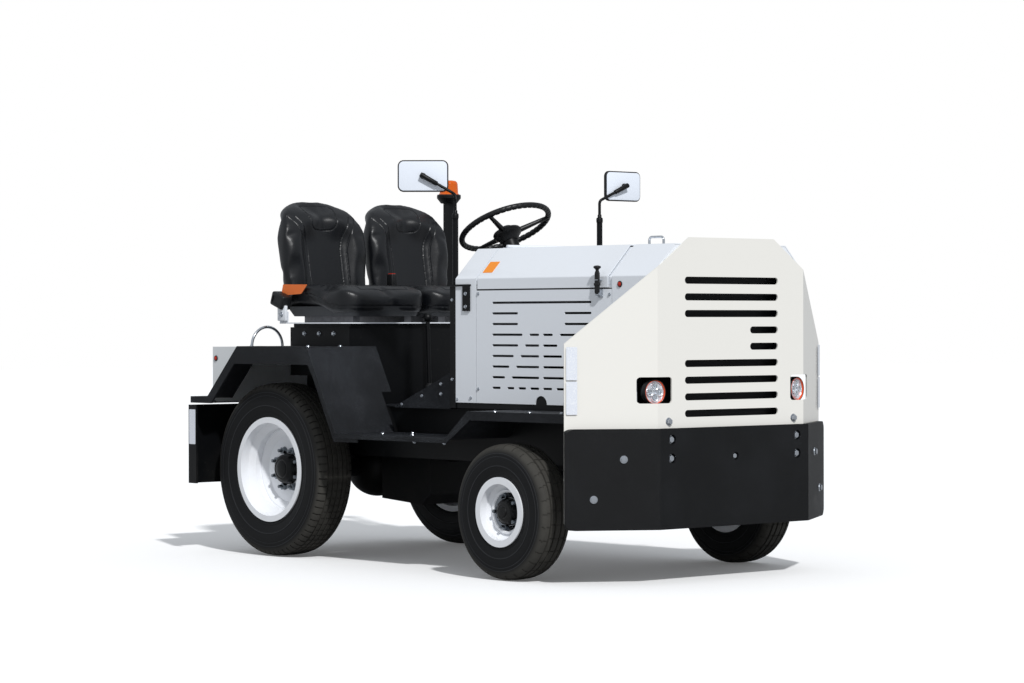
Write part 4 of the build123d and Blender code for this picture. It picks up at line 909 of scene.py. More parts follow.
    def copy(self, name: str, shift: Point = (0.0, 0.0, 0.0), mirrored: bool = False) -> "Work":
        """Copy with its own mesh.

        Args:
            name: The copy's name.
            shift: Distance from this piece.
            mirrored: True for the copy on the vehicle's other side.

        Returns:
            The copy.
        """
        self.leave()
        bpy.ops.object.duplicate(linked=False)
        bpy.context.object.location = shift
        bpy.context.object.scale = (1.0, -1.0 if mirrored else 1.0, 1.0)
        other = Work(name)
        return other.tidy() if mirrored else other

    def ring_of(self, count: int, at: Point, along: str) -> list["Work"]:
        """This piece and its copies, evenly round an axis.

        Args:
            count: Number of pieces in the ring.
            at: Point on the axis.
            along: Name of the axis.

        Returns:
            All of them.
        """
        ring = [self]
        for i in range(1, count):
            other = self.copy(f"{self.piece.name}_{i}")
            bpy.ops.transform.rotate(value=FULL_TURN * i / count, orient_axis=along, center_override=at)
            bpy.ops.object.transform_apply(location=True, rotation=True, scale=True)
            ring.append(other)
        return ring

    def with_others(self, others: Iterable["Work"]) -> "Work":
        """Joins other pieces into this one."""
        self.leave()
        for other in others:
            other.piece.select_set(True)
        bpy.ops.object.join()
        return self

    def put(self, finish: Finish, body: str = "chassis", stands_for: Sequence[str] = (),
            angle: float = 0.6) -> None:
        """Shades, dresses and hands over the piece.

        Args:
            finish: Its finish.
            body: The body that it rides on.
            stands_for: Nodes that it replaces.
            angle: Edges sharper than this, in radians, stay crisp.
        """
        self.leave()
        bpy.ops.object.shade_smooth_by_angle(angle=angle)
        dress(self.piece, finish)
        if stands_for:
            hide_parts(*stands_for)
        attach(self.piece, body)


def put_pair(work: Work, finish: Finish, body: str = "chassis", stands_for: Sequence[str] = ()) -> None:
    """Mirrors a right piece to the left side, and hands both over.

    Args:
        work: The right piece.
        finish: Their finish.
        body: The body that both ride on.
        stands_for: Nodes that the right piece replaces.
    """
    left = work.copy(f"{work.piece.name}_left", mirrored=True)
    work.put(finish, body, stands_for)
    left.put(finish, body)


def joined(works: Sequence[Work]) -> Work:
    """Several pieces as one."""
    return works[0].with_others(works[1:]) if len(works) > 1 else works[0]


def joint_place(name: str) -> Vector:
    """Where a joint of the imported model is."""
    return next(Vector(joint["pos_m"]) for joint in frame["joints"] if joint["name"] == name)


REAR_AXLE = joint_place("rear_spin_right")
FRONT_AXLE = joint_place("front_spin_right")
BODY_SIDE = 0.425
HOOD_TOP = 1.287
NOSE = 1.372
REAR_X = -0.802
STEERING_TILT = math.radians(27.5)
WING_TIP = Vector((1.1637, -0.6992, 0.0))
FACES = {
    "front": Vector((1.0, 0.0, 0.0)), "back": Vector((-1.0, 0.0, 0.0)), "right": Vector((0.0, -1.0, 0.0)),
    "left": Vector((0.0, 1.0, 0.0)), "up": Vector((0.0, 0.0, 1.0)),
    "wing_right": Vector((0.8397, -0.543, 0.0)), "wing_left": Vector((0.8397, 0.543, 0.0)),
}


class Tread(Enum):
    """Kinds of tread."""

    LUG = "lug"
    RIB = "rib"


@dataclass
class Tyre:
    """Tyre turned about its axle, with moulded rings on its walls and a cut tread."""

    place: str
    centre: Vector
    radius: float
    half_width: float
    flange: float
    seat: float
    bead: float
    tread: Tread
    pitch: int = 5
    steps: int = 360

    # Outside from the bead to the tread: share of the wall's height, share of the half-width
    WALL = (
        (0.05, 0.875), (0.085, 0.895), (0.112, 0.885), (0.16, 0.912), (0.24, 0.945), (0.315, 0.968), (0.326, 0.984),
        (0.352, 0.988), (0.364, 0.976), (0.44, 0.988), (0.52, 0.990), (0.60, 0.982), (0.611, 0.965), (0.626, 0.965),
        (0.637, 0.978), (0.70, 0.966), (0.712, 0.950), (0.726, 0.949), (0.738, 0.956), (0.80, 0.929), (0.86, 0.884),
        (0.905, 0.825), (0.938, 0.768), (0.958, 0.712),
    )

    # Grooves by tread: half-way of each groove across the tyre, its half-width and its depth, in metres
    GROOVES = {
        Tread.LUG: ((0.0495, 0.0035, 0.008), (0.0255, 0.003, 0.008), (0.0, 0.003, 0.007)),
        Tread.RIB: ((0.040, 0.003, 0.007), (0.0145, 0.003, 0.007)),
    }

    def profile(self) -> list[tuple[float, float]]:
        """Closed section as rows of radius and distance from the middle.

        Returns:
            The section, from the middle of the tread round both walls.
        """
        tall = self.radius - self.flange
        wall = [(self.seat, self.bead - 0.018), (self.seat, self.bead), (self.flange + 0.002, self.bead)]
        wall += [(self.flange + tall * s, self.half_width * w) for s, w in self.WALL]
        crown = []
        for middle, half, depth in self.GROOVES[self.tread]:
            top = self.radius - 0.9 * middle**2
            crown += [(top - 0.001, middle + half + 0.001), (top - depth, middle + half), (top - depth, middle)]
            if middle:
                crown += [(top - depth, middle - half), (top, middle - half - 0.001)]
        if self.tread is Tread.RIB:
            crown.append((self.radius, 0.0))
        outside = wall + crown
        inside = [
            (self.radius - 0.022, 0.0), (self.radius - 0.024, self.half_width * 0.6),
            (self.radius - tall * 0.3, self.half_width * 0.78), (self.flange + 0.012, self.bead - 0.014),
        ]
        half = inside + outside
        ring = half[:-1] if half[-1][1] == 0 else half
        return ring + [half[-1]] + [(r, -d) for r, d in ring[:0:-1]]

    def step_of(self, place: Vector) -> int:
        """Number of the angular step that a point lies in."""
        angle = math.atan2(place.z - self.centre.z, place.x - self.centre.x) % FULL_TURN
        return int(angle * self.steps / FULL_TURN)

    def reach(self, place: Vector) -> float:
        """Distance of a point from the axle."""
        return math.hypot(place.x - self.centre.x, place.z - self.centre.z)

    def build(self) -> Work:
        """Turns the ring and cuts the tread's cross grooves.

        Returns:
            The finished tyre.
        """
        tyre = Work.turned(f"{self.place}_tyre_shape", self.profile(), self.centre, (0.0, 1.0, 0.0), self.steps)
        shoulder = self.radius - (self.radius - self.flange) * 0.15
        outer_groove = self.GROOVES[self.tread][0][0]

        def is_block_gap(place: Vector, normal: Vector) -> bool:
            """True for a face in the gap between two shoulder blocks."""
            across = abs(place.y - self.centre.y)
            return (self.step_of(place) % self.pitch == 0 and self.reach(place) > shoulder
                    and across > outer_groove + 0.004 and normal.dot(place - self.centre) > 0)

        def is_sipe(place: Vector, normal: Vector) -> bool:
            """True for a face in a fine cut across the middle ribs."""
            across = abs(place.y - self.centre.y)
            outward = Vector((place.x - self.centre.x, 0, place.z - self.centre.z)).normalized()
            return (self.step_of(place) % self.pitch == 2 and across < outer_groove
                    and self.reach(place) > self.radius - 0.003 and normal.dot(outward) > 0.9)

        tyre.pick(Kind.FACE, is_block_gap).sink(0.0055 if self.tread is Tread.LUG else 0.0025)
        tyre.pick(Kind.FACE, is_sipe).sink(0.003)
        tyre.leave()
        return tyre

    def dress(self, tyre: Work) -> None:
        """Copies the tyre to the other side, and puts both on their wheels."""
        finish = TyreRubber(f"{self.place}_tyre_rubber", "tyre_rubber", "0B0C0E", 0.6,
                            self.centre.z, self.centre.x, self.radius - 0.012, self.flange)
        left = tyre.copy(f"{self.place}_tyre_shape_left", (0.0, -2 * self.centre.y, 0.0))
        for side, work in (("right", tyre), ("left", left)):
            work.put(finish, f"{self.place}_wheel_{side}", [f"{self.place}_tyre_{side}"], 0.5)


@dataclass
class WheelTrim:
    """Hub, nuts and valve on a pressed wheel, and the wheel's own paint."""

    place: str
    centre: Vector
    disc: float
    hub_r: float
    reach: float
    pitch_r: float
    nut_r: float
    studs: int
    valve_r: float
    knurled: bool

    def at(self, out: float, r: float = 0.0, angle: float = 0.0) -> Vector:
        """Point on the right wheel.

        Args:
            out: Distance outwards from the disc's face.
            r: Distance from the axle.
            angle: Turn about the axle, in radians.

        Returns:
            The point.
        """
        return self.centre + Vector((r * math.cos(angle), -self.disc - out, r * math.sin(angle)))

    def hub(self) -> Work:
        """Stepped hub with a grease cap, and teeth round the front of a driven one."""
        r, reach = self.hub_r + 0.0012, self.reach
        profile = [
            (0.0, 0.002), (r + 0.005, 0.002), (r + 0.005, 0.0145), (r + 0.001, 0.0175), (r, reach - 0.014),
            (r - 0.004, reach - 0.007), (r - 0.013, reach - 0.0005), (r - 0.020, reach + 0.0015),
            (r - 0.022, reach - 0.001), (r - 0.025, reach - 0.001), (r - 0.027, reach + 0.003),
            (r * 0.42, reach + 0.0065), (r * 0.2, reach + 0.0085), (0.0, reach + 0.009),
        ]
        hub = Work.turned(f"{self.place}_hub", profile, self.at(0.0), (0.0, -1.0, 0.0), 64)
        if self.knurled:
            def is_tooth(place: Vector, normal: Vector) -> bool:
                """True for a face of a tooth round the hub."""
                span = Vector((place.x - self.centre.x, 0, place.z - self.centre.z))
                step = int(math.atan2(span.z, span.x) % FULL_TURN / FULL_TURN * 64)
                out = self.centre.y - self.disc - place.y
                return step % 4 < 2 and span.length > r - 0.003 and 0.018 < out < reach - 0.01
            hub.pick(Kind.FACE, is_tooth)
            bpy.ops.mesh.extrude_region_shrink_fatten(TRANSFORM_OT_shrink_fatten={"value": 0.002})
        return hub

    def nuts(self) -> Work:
        """Flanged hexagon nuts on studs with chamfered ends."""
        angle = FULL_TURN * 0.5 / self.studs
        spot = [self.at(out, self.pitch_r, angle) for out in (0.005, 0.0085, 0.0228, 0.0405)]
        washer = Work.round(f"{self.place}_nut", spot[0], spot[1], self.nut_r * 1.28, sides=24).rounded(0.0008, 1)
        nut = Work.round("nut", spot[0], spot[2], self.nut_r * 1.17, sides=6)
        nut.facing((0.0, -1.0, 0.0)).inset(self.nut_r * 0.16, self.nut_r * 0.1)
        stud = Work.round("stud", spot[0], spot[3], 0.0072, sides=16)
        stud.facing((0.0, -1.0, 0.0)).inset(0.0018, 0.0014)
        return joined(joined([washer, nut, stud]).ring_of(self.studs, self.centre, "Y"))

    def valve(self) -> Work:
        """Rubber valve stem with its cap."""
        profile = [(0.0, -0.004), (0.0085, -0.004), (0.0075, 0.004), (0.0048, 0.012), (0.0042, 0.026),
                   (0.0052, 0.0265), (0.0052, 0.036), (0.0038, 0.038), (0.0, 0.038)]
        return Work.turned(f"{self.place}_valve", profile, self.at(0.012, self.valve_r, 1.15), (0.0, -1.0, 0.0), 16)

    def build(self) -> None:
        """Makes the trim of the right wheel, copies it to the left, and paints both wheels."""
        pieces = ((self.hub(), Paint.HUB), (self.nuts(), Paint.NUT), (self.valve(), Paint.RUBBER))
        for work, finish in pieces:
            left = work.copy(f"{work.piece.name}_left", mirrored=True)
            work.put(finish, f"{self.place}_wheel_right")
            left.put(finish, f"{self.place}_wheel_left")
        for name, side in SIDES.items():
            spread = abs(self.centre.y) + self.disc
            finish = WheelPaint(
                f"{self.place}_wheel_white_{name}", "wheel_paint", "EBEDF1", 0.3, tuple(self.centre), side, spread,
                self.hub_r + 0.0035, self.pitch_r + self.nut_r * 1.3)
            dress(NODES[f"{self.place}_rim_{name}"], finish)


@dataclass
class SeatPart:
    """Foam piece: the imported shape, rounded, blown up a little as cloth and drawn in along its seams."""

    node: str
    voxel: float
    rounds: int
    pressure: float
    fill: float
    cap: float = 0.022
    seam_depth: float = 0.0026

    def seam(self, place: Vector, normal: Vector) -> bool:
        """True for a vertex that lies in a seam."""
        return False

    def before(self, work: Work) -> None:
        """Shapes the piece before it is blown up."""

    def build(self) -> Work:
        """Models the right seat's piece.

        Returns:
            The padded piece.
        """
        work = Work.packed(f"{self.node}_foam", f"{self.node}_right")
        piece = work.piece
        low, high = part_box(f"{self.node}_right")
        bpy.ops.transform.resize(value=(0.985, 0.985, 0.985), center_override=(low + high) / 2)
        bpy.ops.object.transform_apply(location=True, rotation=True, scale=True)
        bpy.ops.object.modifier_add(type="REMESH")
        piece.modifiers[-1].mode = "VOXEL"
        piece.modifiers[-1].voxel_size = self.voxel
        bpy.ops.object.modifier_apply(modifier=piece.modifiers[-1].name)
        self.before(work)
        work.enter(Kind.VERTEX)
        bpy.ops.mesh.select_all(action="SELECT")
        bpy.ops.mesh.vertices_smooth(factor=0.5, repeat=self.rounds)
        work.leave()
        self.blow_up(piece)
        work.enter(Kind.VERTEX)
        bpy.ops.mesh.select_all(action="SELECT")
        bpy.ops.mesh.vertices_smooth(factor=0.5, repeat=8)
        work.leave()
        work.enter(Kind.FACE)
        bpy.ops.mesh.select_all(action="SELECT")
        bpy.ops.mesh.subdivide(number_cuts=1, smoothness=0.6)
        work.pick(Kind.VERTEX, self.seam)
        bpy.ops.transform.shrink_fatten(value=-self.seam_depth)
        work.leave()
        return work

    def blow_up(self, piece: bpy.types.Object) -> None:
        """Runs the cloth under pressure and applies it, with a cap on how far a point may move."""
        start = [vertex.co.copy() for vertex in piece.data.vertices]
        bpy.ops.object.modifier_add(type="CLOTH")
        cloth = piece.modifiers[-1]
        cloth.settings.quality = 4
        cloth.settings.mass = 0.4
        cloth.settings.tension_stiffness = 22.0
        cloth.settings.compression_stiffness = 22.0
        cloth.settings.shear_stiffness = 8.0
        cloth.settings.bending_stiffness = 12.0
        cloth.settings.use_pressure = True
        cloth.settings.uniform_pressure_force = self.pressure
        cloth.settings.effector_weights.gravity = 0.0
        for step in range(1, 21):
            bpy.context.scene.frame_set(step)
        bpy.ops.object.modifier_apply(modifier=cloth.name)
        bpy.context.scene.frame_set(1)
        for vertex, was in zip(piece.data.vertices, start):
            moved = vertex.co - was
            if moved.length > self.cap:
                vertex.co = was + moved * (self.cap / moved.length)

    def dress(self, work: Work) -> None:
        """Copies the piece to the left seat and hands both over."""
        left = work.copy(f"{self.node}_foam_left", mirrored=True)
        for side, made in (("right", work), ("left", left)):
            made.put(Paint.VINYL, "chassis", [f"{self.node}_{side}"], 1.2)


@dataclass
class SeatBack(SeatPart):
    """Seat back with side bolsters, double seams beside its middle panel and a head panel."""

    base: Point = (REAR_X - 0.078, -0.235, 1.046)
    lean: float = math.radians(10.0)

    # Height over the base, least distance from the middle, move forwards and move up, of each pull
    PULLS = ((0.385, 0.07, 0.028, 0.004), (0.425, 0.0, 0.010, 0.010))

    def before(self, work: Work) -> None:
        """Fills the hollows over the bolsters, and lifts the crown."""
        for height, apart, ahead, up in self.PULLS:
            def is_line(place: Vector, normal: Vector) -> bool:
                """True for a vertex of the front at this pull's height."""
                x, z = place.x - self.base[0], place.z - self.base[2]
                h = z * math.cos(self.lean) - x * math.sin(self.lean)
                return normal.x > 0.2 and abs(h - height) < 0.012 and abs(place.y - self.base[1]) >= apart
            work.pick(Kind.VERTEX, is_line)
            bpy.ops.transform.translate(value=(ahead, 0.0, up), use_proportional_edit=True,
                                        proportional_edit_falloff="SMOOTH", proportional_size=0.085,
                                        use_proportional_connected=True)
        work.leave()

    def seam(self, place: Vector, normal: Vector) -> bool:
        """Seams of the front, measured along the leaning back and across it."""
        x, z = place.x - self.base[0], place.z - self.base[2]
        h = z * math.cos(self.lean) - x * math.sin(self.lean)
        y = abs(place.y - self.base[1])
        if normal.x < 0.1:
            return False
        spread = (max(0.0, h - 0.23) / 0.17) ** 2
        lines = [y - 0.088 - 0.060 * spread, y - 0.117 - 0.068 * spread] if 0.03 < h < 0.40 else []
        half = 0.062 + (h - 0.34) / 0.115 * 0.026
        corner = 0.025
        qy, qh = y - half + corner, abs(h - 0.3975) - 0.0575 + corner
        lines.append(math.hypot(max(qy, 0.0), max(qh, 0.0)) + min(max(qy, qh), 0.0) - corner)
        return any(abs(line) < 0.0024 for line in lines)


@dataclass
class SeatCushion(SeatPart):
    """Seat cushion with a skirt that drops over the pan at the front, and a seam round its side."""

    # Side seam as seen from the right: X and height
    SIDE = ((-0.87, 1.122), (-0.767, 1.118), (-0.671, 1.106), (-0.613, 1.088), (-0.554, 1.067), (-0.497, 1.058),
            (-0.40, 1.057))

    def before(self, work: Work) -> None:
        """Lowers the skirt in six steps towards the front."""
        for i in range(6):
            start = REAR_X + 0.06 + 0.035 * i
            work.pick(Kind.VERTEX, lambda place, normal: place.x > start and place.z < 1.068)
            bpy.ops.transform.translate(value=(0.0, 0.0, -0.0048))
        work.leave()

    def seam(self, place: Vector, normal: Vector) -> bool:
        """The seam round the side, and the two along the top."""
        x = place.x
        height = self.SIDE[-1][1]
        for (x0, z0), (x1, z1) in zip(self.SIDE, self.SIDE[1:]):
            if x0 <= x < x1:
                height = z0 + (z1 - z0) * (x - x0) / (x1 - x0)
        round_side = abs(normal.z) < 0.75 and abs(place.z - height) < 0.0026
        along_top = normal.z > 0.6 and abs(abs(place.y + 0.235) - 0.128) < 0.0024 and x < REAR_X + 0.335
        across_top = (normal.z > 0.6 and abs(x - REAR_X - 0.335) < 0.0024 and abs(place.y + 0.235) < 0.128)
        return round_side or along_top or across_top


@dataclass
class Belts:
    """Belt reel on its bracket, a length of webbing and a buckle for each seat."""

    reel: Point = (-0.837, -0.500, 1.084)
    tilt: float = 0.34
    button: Point = (-0.700, -0.006, 1.172)

    # Corners of the webbing that shows
    STRAP = ((-0.856, -0.486, 1.105), (-0.842, -0.486, 1.153), (-0.700, -0.466, 1.151), (-0.742, -0.466, 1.112))

    def build(self) -> None:
        """Models the right seat's belt and mirrors it."""
        case = Work.block("belt_reel", (-0.042, -0.027, -0.030), (0.042, 0.027, 0.030)).rounded(0.009, 3)
        case.facing((0.0, -1.0, 0.0)).inset(0.006).sink(0.0015)
        case.facing((1.0, 0.0, 0.0)).inset(0.004, 0.002)
        case.set_at(self.reel, (0.0, self.tilt, 0.0))
        bracket = Work.block("belt_bracket", (-0.847, -0.5135, 0.997), (-0.791, -0.5005, 1.062)).rounded(0.003, 2)
        bolt = bolted("belt_bolt", (-0.819, -0.5135, 1.024), "right", 0.009)
        strap = Work.plate("belt_webbing", self.STRAP, (0.0, 0.0016, 0.0))
        strap.running((0.0, 1.0, 0.0)).bevel(0.002, 1)
        x, y, z = self.button
        stalk = Work.block("buckle_stalk", (x - 0.013, y - 0.003, z - 0.14), (x + 0.009, y + 0.003, z - 0.025))
        stalk.rounded(0.0015, 1)
        head = Work.block("buckle", (x - 0.022, y - 0.009, z - 0.032), (x + 0.018, y + 0.009, z + 0.028))
        head.rounded(0.005, 3)
        button = Work.block("buckle_button", (x - 0.014, y - 0.0055, z + 0.022), (x + 0.010, y + 0.0055, z + 0.0305))
        button.rounded(0.0018, 2)
        table = (
            (case, Paint.PLASTIC, ["belt_reels"]), (bracket, Paint.BAY, []), (bolt, Paint.PLATED, []),
            (strap, Paint.BELT, []), (stalk, Paint.PLASTIC, []), (head, Paint.PLASTIC, []),
            (button, Paint.RED, []),
        )
        for work, finish, stands_for in table:
            put_pair(work, finish, stands_for=stands_for)


@dataclass
class Lamps:
    """Headlamps, side markers and tail lamps."""

    x: float = 1.329
    half: float = 0.390
    z: float = 0.726
    radius: float = 0.0485
    toe_out: float = math.radians(10.0)

    # Y and height of each small lens from the lamp's middle
    CUPS = ((0.0, 0.0215), (0.0215, 0.0), (0.0, -0.0215), (-0.0215, 0.0))

    # X and height of the bracket's corners from the lamp's middle
    TAB = ((-0.052, -0.030), (-0.052, 0.034), (-0.012, 0.034), (-0.006, 0.018), (-0.012, -0.085), (-0.052, -0.085))

    def head_parts(self) -> list[tuple[Work, Finish]]:
        """Right headlamp: housing with a dark face, coloured ring, reflector disc with four cups, four small lenses
        and bracket.

        Returns:
            The pieces with their finishes, in place.
        """
        r, front = self.radius, (1.0, 0.0, 0.0)
        case = Work.turned("headlamp_case", [
            (0.0, -0.062), (0.024, -0.061), (0.033, -0.056), (0.040, -0.036), (r - 0.003, -0.028), (r, -0.024),
            (r, -0.002), (r - 0.0012, 0.0), (r - 0.0032, 0.0), (r - 0.0039, -0.002), (r - 0.0040, -0.012),
            (0.0, -0.012)], (0.0, 0.0, 0.0), front, 64)
        ring = Work.turned("headlamp_ring", [
            (r - 0.0040, -0.0100), (r - 0.0042, -0.0006), (r - 0.0050, 0.0), (r - 0.0059, -0.0006),
            (r - 0.0061, -0.0100)], (0.0, 0.0, 0.0), front, 64)
        cups = [Work.turned("headlamp_disc", [
            (0.0, -0.0125), (r - 0.0062, -0.0125), (r - 0.0062, -0.0080), (r - 0.0080, -0.0105), (0.0, -0.0110)],
            (0.0, 0.0, 0.0), front, 64)]
        for y, z in self.CUPS:
            cup = [(0.0, -0.0108), (0.0060, -0.0104), (0.0136, -0.0030), (0.0143, -0.0026), (0.0149, -0.0040),
                   (0.0149, -0.0116), (0.0, -0.0116)]
            cups.append(Work.turned("headlamp_cup", cup, (0.0, y, z), front, 32))
        lenses = [Work.turned("headlamp_lens", [(0.0, -0.0094), (0.0100, -0.0090), (0.0108, -0.0056),
                                                 (0.0064, -0.0030), (0.0, -0.0020)], (0.0, y, z), front, 24)
                  for y, z in self.CUPS]
        tab = Work.plate("headlamp_bracket", [(x, 0.030, z) for x, z in self.TAB], (0.0, 0.004, 0.0))
        tab.rounded(0.0012, 1)
        foot = Work.block("headlamp_foot", (-0.052, -0.002, -0.085), (-0.012, 0.034, -0.081)).rounded(0.0012, 1)
        parts = [(case, Paint.PLASTIC), (ring, Paint.LAMP_RING), (joined(cups), Paint.REFLECTOR_CUP),
                 (joined(lenses), Paint.CLEAR), (joined([tab, foot]), Paint.BAY)]
        for work, _ in parts:
            work.set_at((self.x, -self.half, self.z), (0.0, 0.0, -self.toe_out))
        return parts

    def round_lamp(self, name: str, at: Point, way: Point, size: float) -> list[tuple[Work, Finish]]:
        """Small round lamp: rubber grommet and a domed lens.

        Args:
            name: Name of its pieces.
            at: Middle of its foot.
            way: Direction that it looks in.
            size: Radius over the grommet.

        Returns:
            The pieces with their finishes.
        """
        grommet = Work.turned(f"{name}_grommet", [
            (0.0, 0.0), (size, 0.0), (size, size * 0.22), (size * 0.93, size * 0.34), (size * 0.78, size * 0.36),
            (size * 0.74, size * 0.24), (0.0, size * 0.24)], at, way, 40)
        lens = Work.turned(f"{name}_lens", [
            (0.0, size * 0.2), (size * 0.72, size * 0.2), (size * 0.70, size * 0.40), (size * 0.55, size * 0.50),
            (size * 0.30, size * 0.57), (0.0, size * 0.59)], at, way, 40)
        return [(grommet, Paint.RUBBER), (lens, Paint.RED)]

    def build(self) -> None:
        """Models the right side's lamps and mirrors them."""
        parts = self.head_parts()
        parts += self.round_lamp("side_marker", (1.174, -BODY_SIDE, 1.134), (0.0, -1.0, 0.0), 0.012)
        parts += self.round_lamp("deck_marker", (-1.237, -0.550, 0.835), (0.0, -1.0, 0.0), 0.012)
        parts += self.round_lamp("tail_lamp", (-1.262, -0.560, 0.560), (-1.0, 0.0, 0.0), 0.045)
        for i, (work, finish) in enumerate(parts):
            put_pair(work, finish, stands_for=[] if i else ["lamps"])


@dataclass
class Mirrors:
    """Door mirrors: a dark frame, a pale back, the glass and the clamp on the stay's ball."""

    width: float = 0.203
    height: float = 0.127
    depth: float = 0.016
    corner: float = 0.024
    post_y: float = 0.400
    rod_foot: float = 1.430
    rod_bend: float = 1.500

    # Side, centre of the head's front plane, turn about the upright axis
    PLACES = (("right", (0.188, -0.570, 1.575), -math.radians(41.7)), ("left", (0.188, 0.540, 1.565), 0.0))

    def slab(self, name: str, edge: float, x0: float, x1: float, round_edge: float) -> Work:
        """Rounded rectangle between two planes, smaller than the head by an edge."""
        y, z = self.width / 2 - edge, self.height / 2 - edge
        slab = Work.block(name, (x0, -y, -z), (x1, y, z))
        slab.running((1.0, 0.0, 0.0)).bevel(self.corner - edge, 8)
        return slab.rounded(round_edge, 3, 1.0)

    def parts(self) -> list[tuple[Work, Finish]]:
        """One head round the origin, looking back along X.

        Returns:
            The pieces with their finishes.
        """
        frame_rim = self.slab("mirror_frame", 0.0, -self.depth, -0.001, 0.004)
        back = self.slab("mirror_back", 0.005, -0.006, 0.0005, 0.0012)
        glass = self.slab("mirror_glass", 0.006, -self.depth - 0.0006, -self.depth + 0.003, 0.0004)
        socket = Work.turned("mirror_socket", [
            (0.0, -0.002), (0.0115, -0.002), (0.0125, 0.004), (0.0115, 0.010), (0.0095, 0.0135), (0.0, 0.0135)],
            (0.0, 0.0, 0.0), (1.0, 0.0, 0.0), 32)
        return [(frame_rim, Paint.PLASTIC), (back, Paint.MIRROR_BACK), (glass, Paint.MIRROR),
                (socket, Paint.PLASTIC)]

    def build(self) -> None:
        """Models one head, and sets it and its copy in place."""
        for work, finish in self.parts():
            first = work.piece.name.endswith("frame")
            heads = [work, work.copy(f"{work.piece.name}_left")]
            for head, (_, place, turn) in zip(heads, self.PLACES):
                head.set_at(place, (0.0, 0.0, turn))
                head.put(finish, stands_for=["mirror_heads"] if first and head is work else [])
        self.stays()

    def stays(self) -> None:
        """Posts as packed, and above them the bent rods with the clamps that hold the heads."""
        work = Work.packed("mirror_posts", "mirror_stays")
        work.enter(Kind.FACE)
        bpy.ops.mesh.select_all(action="SELECT")
        bpy.ops.mesh.remove_doubles(threshold=1e-5)
        bpy.ops.mesh.bisect(plane_co=(0.0, 0.0, self.rod_foot), plane_no=(0.0, 0.0, 1.0), use_fill=True,
                            clear_outer=True)
        work.leave()
        pieces = [work]
        for side, place, turn in self.PLACES:
            y = SIDES[side] * self.post_y
            ahead = Vector((math.cos(turn), math.sin(turn), 0.0))
            ball = Vector(place) + ahead * 0.016
            foot, bend = Vector((place[0], y, self.rod_foot - 0.006)), Vector((place[0], y, self.rod_bend))
            path = [foot, bend, ball]
            if turn:
                bend.z -= 0.012
                path.insert(2, bend + ahead * 0.129 + Vector((0.0, 0.0, 0.014)))
            along = (ball - path[-2]).normalized()
            rod = Work.tube("mirror_rod", path, 0.006, 0.02)
            collar = Work.turned("mirror_collar", [
                (0.0, 1.408), (0.0125, 1.408), (0.0138, 1.411), (0.0138, 1.424), (0.0125, 1.428), (0.0085, 1.430),
                (0.0085, 1.440), (0.0070, 1.442), (0.0, 1.442)], (place[0], y, 0.0), (0.0, 0.0, 1.0), 32)
            clamp = Work.round("mirror_clamp", ball - along * 0.066, ball + along * 0.012, 0.0092, 0.0105, 20)
            clamp.rounded(0.003, 2)
            pieces += [rod, collar, clamp]
        joined(pieces).put(Paint.FRAME, stands_for=["mirror_stays"], angle=0.5)


@dataclass
class Beacon:
    """Amber beacon: a faceted lens over its bulb, on a rubber foot."""

    at: Point = (-0.932, 0.523, 1.560)

    def build(self) -> None:
        """Models the lens, the lamp inside it and the foot ring."""
        up = (0.0, 0.0, 1.0)
        lens = Work.turned("beacon_dome", [
            (0.0, 0.0), (0.0465, 0.0), (0.0465, 0.007), (0.0430, 0.0105), (0.0415, 0.013), (0.0395, 0.052),
            (0.0375, 0.060), (0.0320, 0.0665), (0.0180, 0.0695), (0.0, 0.0698)], self.at, up, 30)
        lens.pick(Kind.FACE, lambda place, normal: abs(normal.z) < 0.3 and place.z > self.at[2] + 0.02)
        bpy.ops.mesh.inset(thickness=0.0007, depth=-0.0006, use_individual=True)
        ring = Work.turned("beacon_foot_ring", [
            (0.0470, -0.004), (0.0535, -0.004), (0.0535, 0.003), (0.0515, 0.0052), (0.0475, 0.0052)],
            self.at, up, 48)
        bulb = Work.turned("beacon_bulb", [
            (0.0, 0.002), (0.016, 0.002), (0.016, 0.016), (0.009, 0.020), (0.012, 0.032), (0.010, 0.042),
            (0.0, 0.047)], self.at, up, 24)
        lens.put(Paint.AMBER, stands_for=["beacon_lens"], angle=0.15)
        ring.put(Paint.RUBBER)
        bulb.put(Paint.PLATED)


